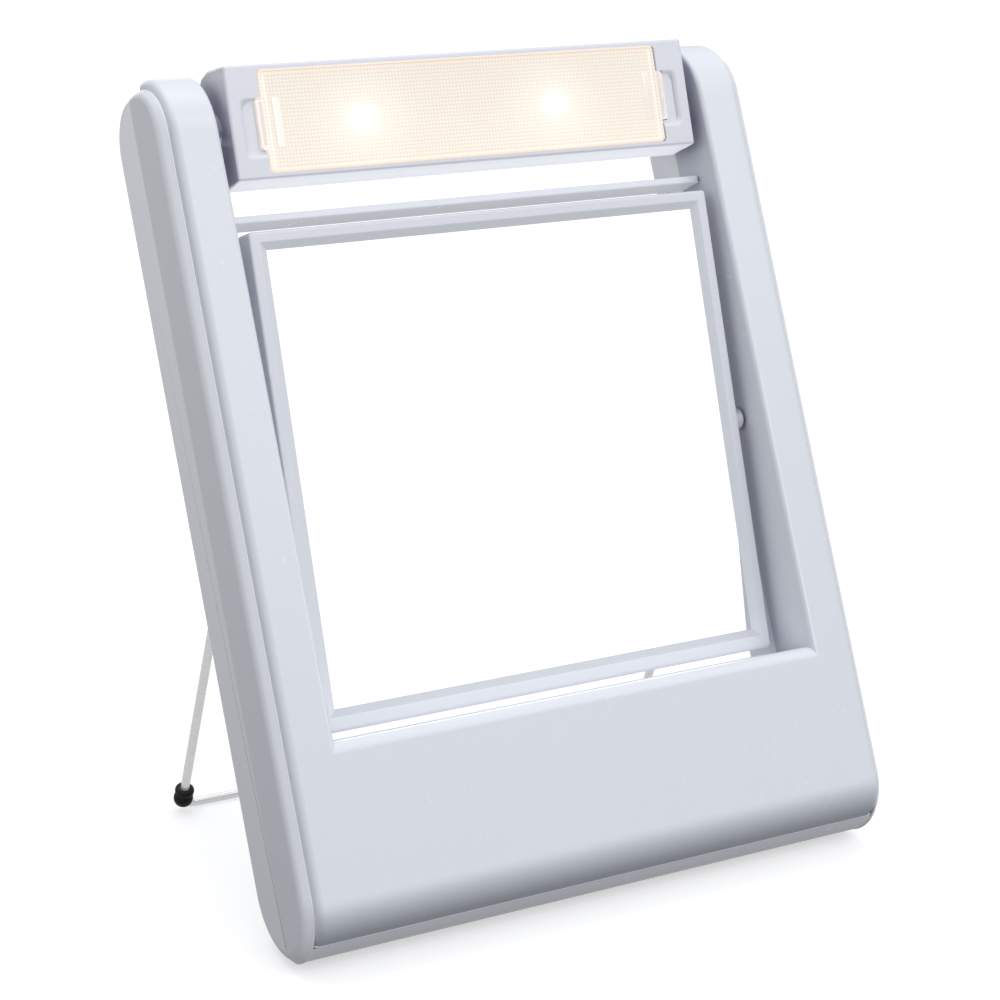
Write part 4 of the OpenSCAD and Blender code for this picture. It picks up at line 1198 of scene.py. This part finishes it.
floor_mesh = bmesh.new()
bmesh.ops.create_grid(floor_mesh, x_segments=24, y_segments=24, size=3.0)
floor = obj_of(floor_mesh, "floor")
for v in floor.data.vertices:
    v.co.z = -0.0002
floor.data.materials.append(floor_material())
floor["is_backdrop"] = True

# ---------------------------------------------------------------- light and camera
scene = bpy.context.scene
scene.view_settings.view_transform = "Standard"
scene.view_settings.look = "None"
scene.view_settings.exposure = 0.0


def build_world():
    """Dim studio with soft patches of light; plain white to the camera."""
    w = Nodes(bpy.data.worlds.new("studio"), "ShaderNodeOutputWorld", "Generated")
    level = 0.36
    # direction, sharpness, gain
    for direction, sharpness, gain in (
            ((0.35, -0.75, 0.62), 2.2, 0.66),
            ((0.0, 0.25, 1.0), 2.5, 0.30),
            ((0.47, -0.83, 0.28), 14.0, 0.30),
            ((0.0, 0.97, 0.0), 3.5, 0.30)):
        away = w.math("SUBTRACT", w.dot(w.coords, Vector(direction).normalized()), 1.0)
        level = w.add(level, w.mul(w.math("EXPONENT", w.mul(away, sharpness)), gain))
    studio = w.make("ShaderNodeBackground", Color=rgb(0.965, 0.975, 1.0), Strength=level)
    plain_white = w.make("ShaderNodeBackground", Color=rgb(1, 1, 1), Strength=1.0)
    camera_ray = w.node("ShaderNodeLightPath").outputs["Is Camera Ray"]
    return w.finish(w.mix_shader(camera_ray, studio, plain_white))


scene.world = build_world()


def softbox(name, at, size, power, color=(1, 1, 1), aim=(0, 0, 0.1)):
    light = bpy.data.lights.new(name, "AREA")
    light.shape, light.energy, light.color = "RECTANGLE", power, color
    light.size, light.size_y = size
    obj = bpy.data.objects.new(name, light)
    scene.collection.objects.link(obj)
    obj.location = at
    obj.rotation_euler = (Vector(aim) - Vector(at)).to_track_quat("-Z", "Y").to_euler()


softbox("key", at=(0.55, -0.95, 1.15), size=(0.9, 0.9), power=4.6, aim=(0, 0, 0.09))
softbox("top", at=(-0.1, 0.25, 1.2), size=(1.0, 0.8), power=2.6, color=(0.97, 0.98, 1.0))
softbox("back", at=(0.2, 1.5, 0.35), size=(1.0, 0.6), power=0.9)
softbox("left", at=(-1.3, -0.5, 0.5), size=(0.6, 0.8), power=1.2, color=(0.99, 1.0, 1.0))

# camera place (mm) and axes in the case's frame
CAMERA_PLACE = (-273.2, -502.7, 51.1)
CAMERA_AXES = Matrix(((0.87820, 0.13426, -0.45906),
                      (-0.43852, -0.15714, -0.88488),
                      (-0.19094, 0.97841, -0.07913))).to_4x4()
camera = bpy.data.cameras.new("camera")
camera.lens, camera.sensor_width = 89.12, 36.0
camera.shift_x, camera.shift_y = 0.00209, -0.01177
camera.clip_start, camera.clip_end = 0.01, 50
camera_obj = bpy.data.objects.new("camera", camera)
scene.collection.objects.link(camera_obj)
pose = move(0, CASE_Y, CASE_Z) @ tilt(-LEAN) @ move(*CAMERA_PLACE) @ CAMERA_AXES
camera_obj.matrix_world = Matrix.LocRotScale(pose.to_translation() * MM, pose.to_quaternion(),
                                             Vector((1, 1, 1)))
scene.camera = camera_obj

seen_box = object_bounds()


def plain(bounds):
    # bounds may be a pair of corners or a flat row of numbers
    try:
        return [[float(x) for x in c] for c in bounds]
    except TypeError:
        return [float(x) for x in bounds]


{"cad": plain(cad_box), "visual": plain(seen_box)}
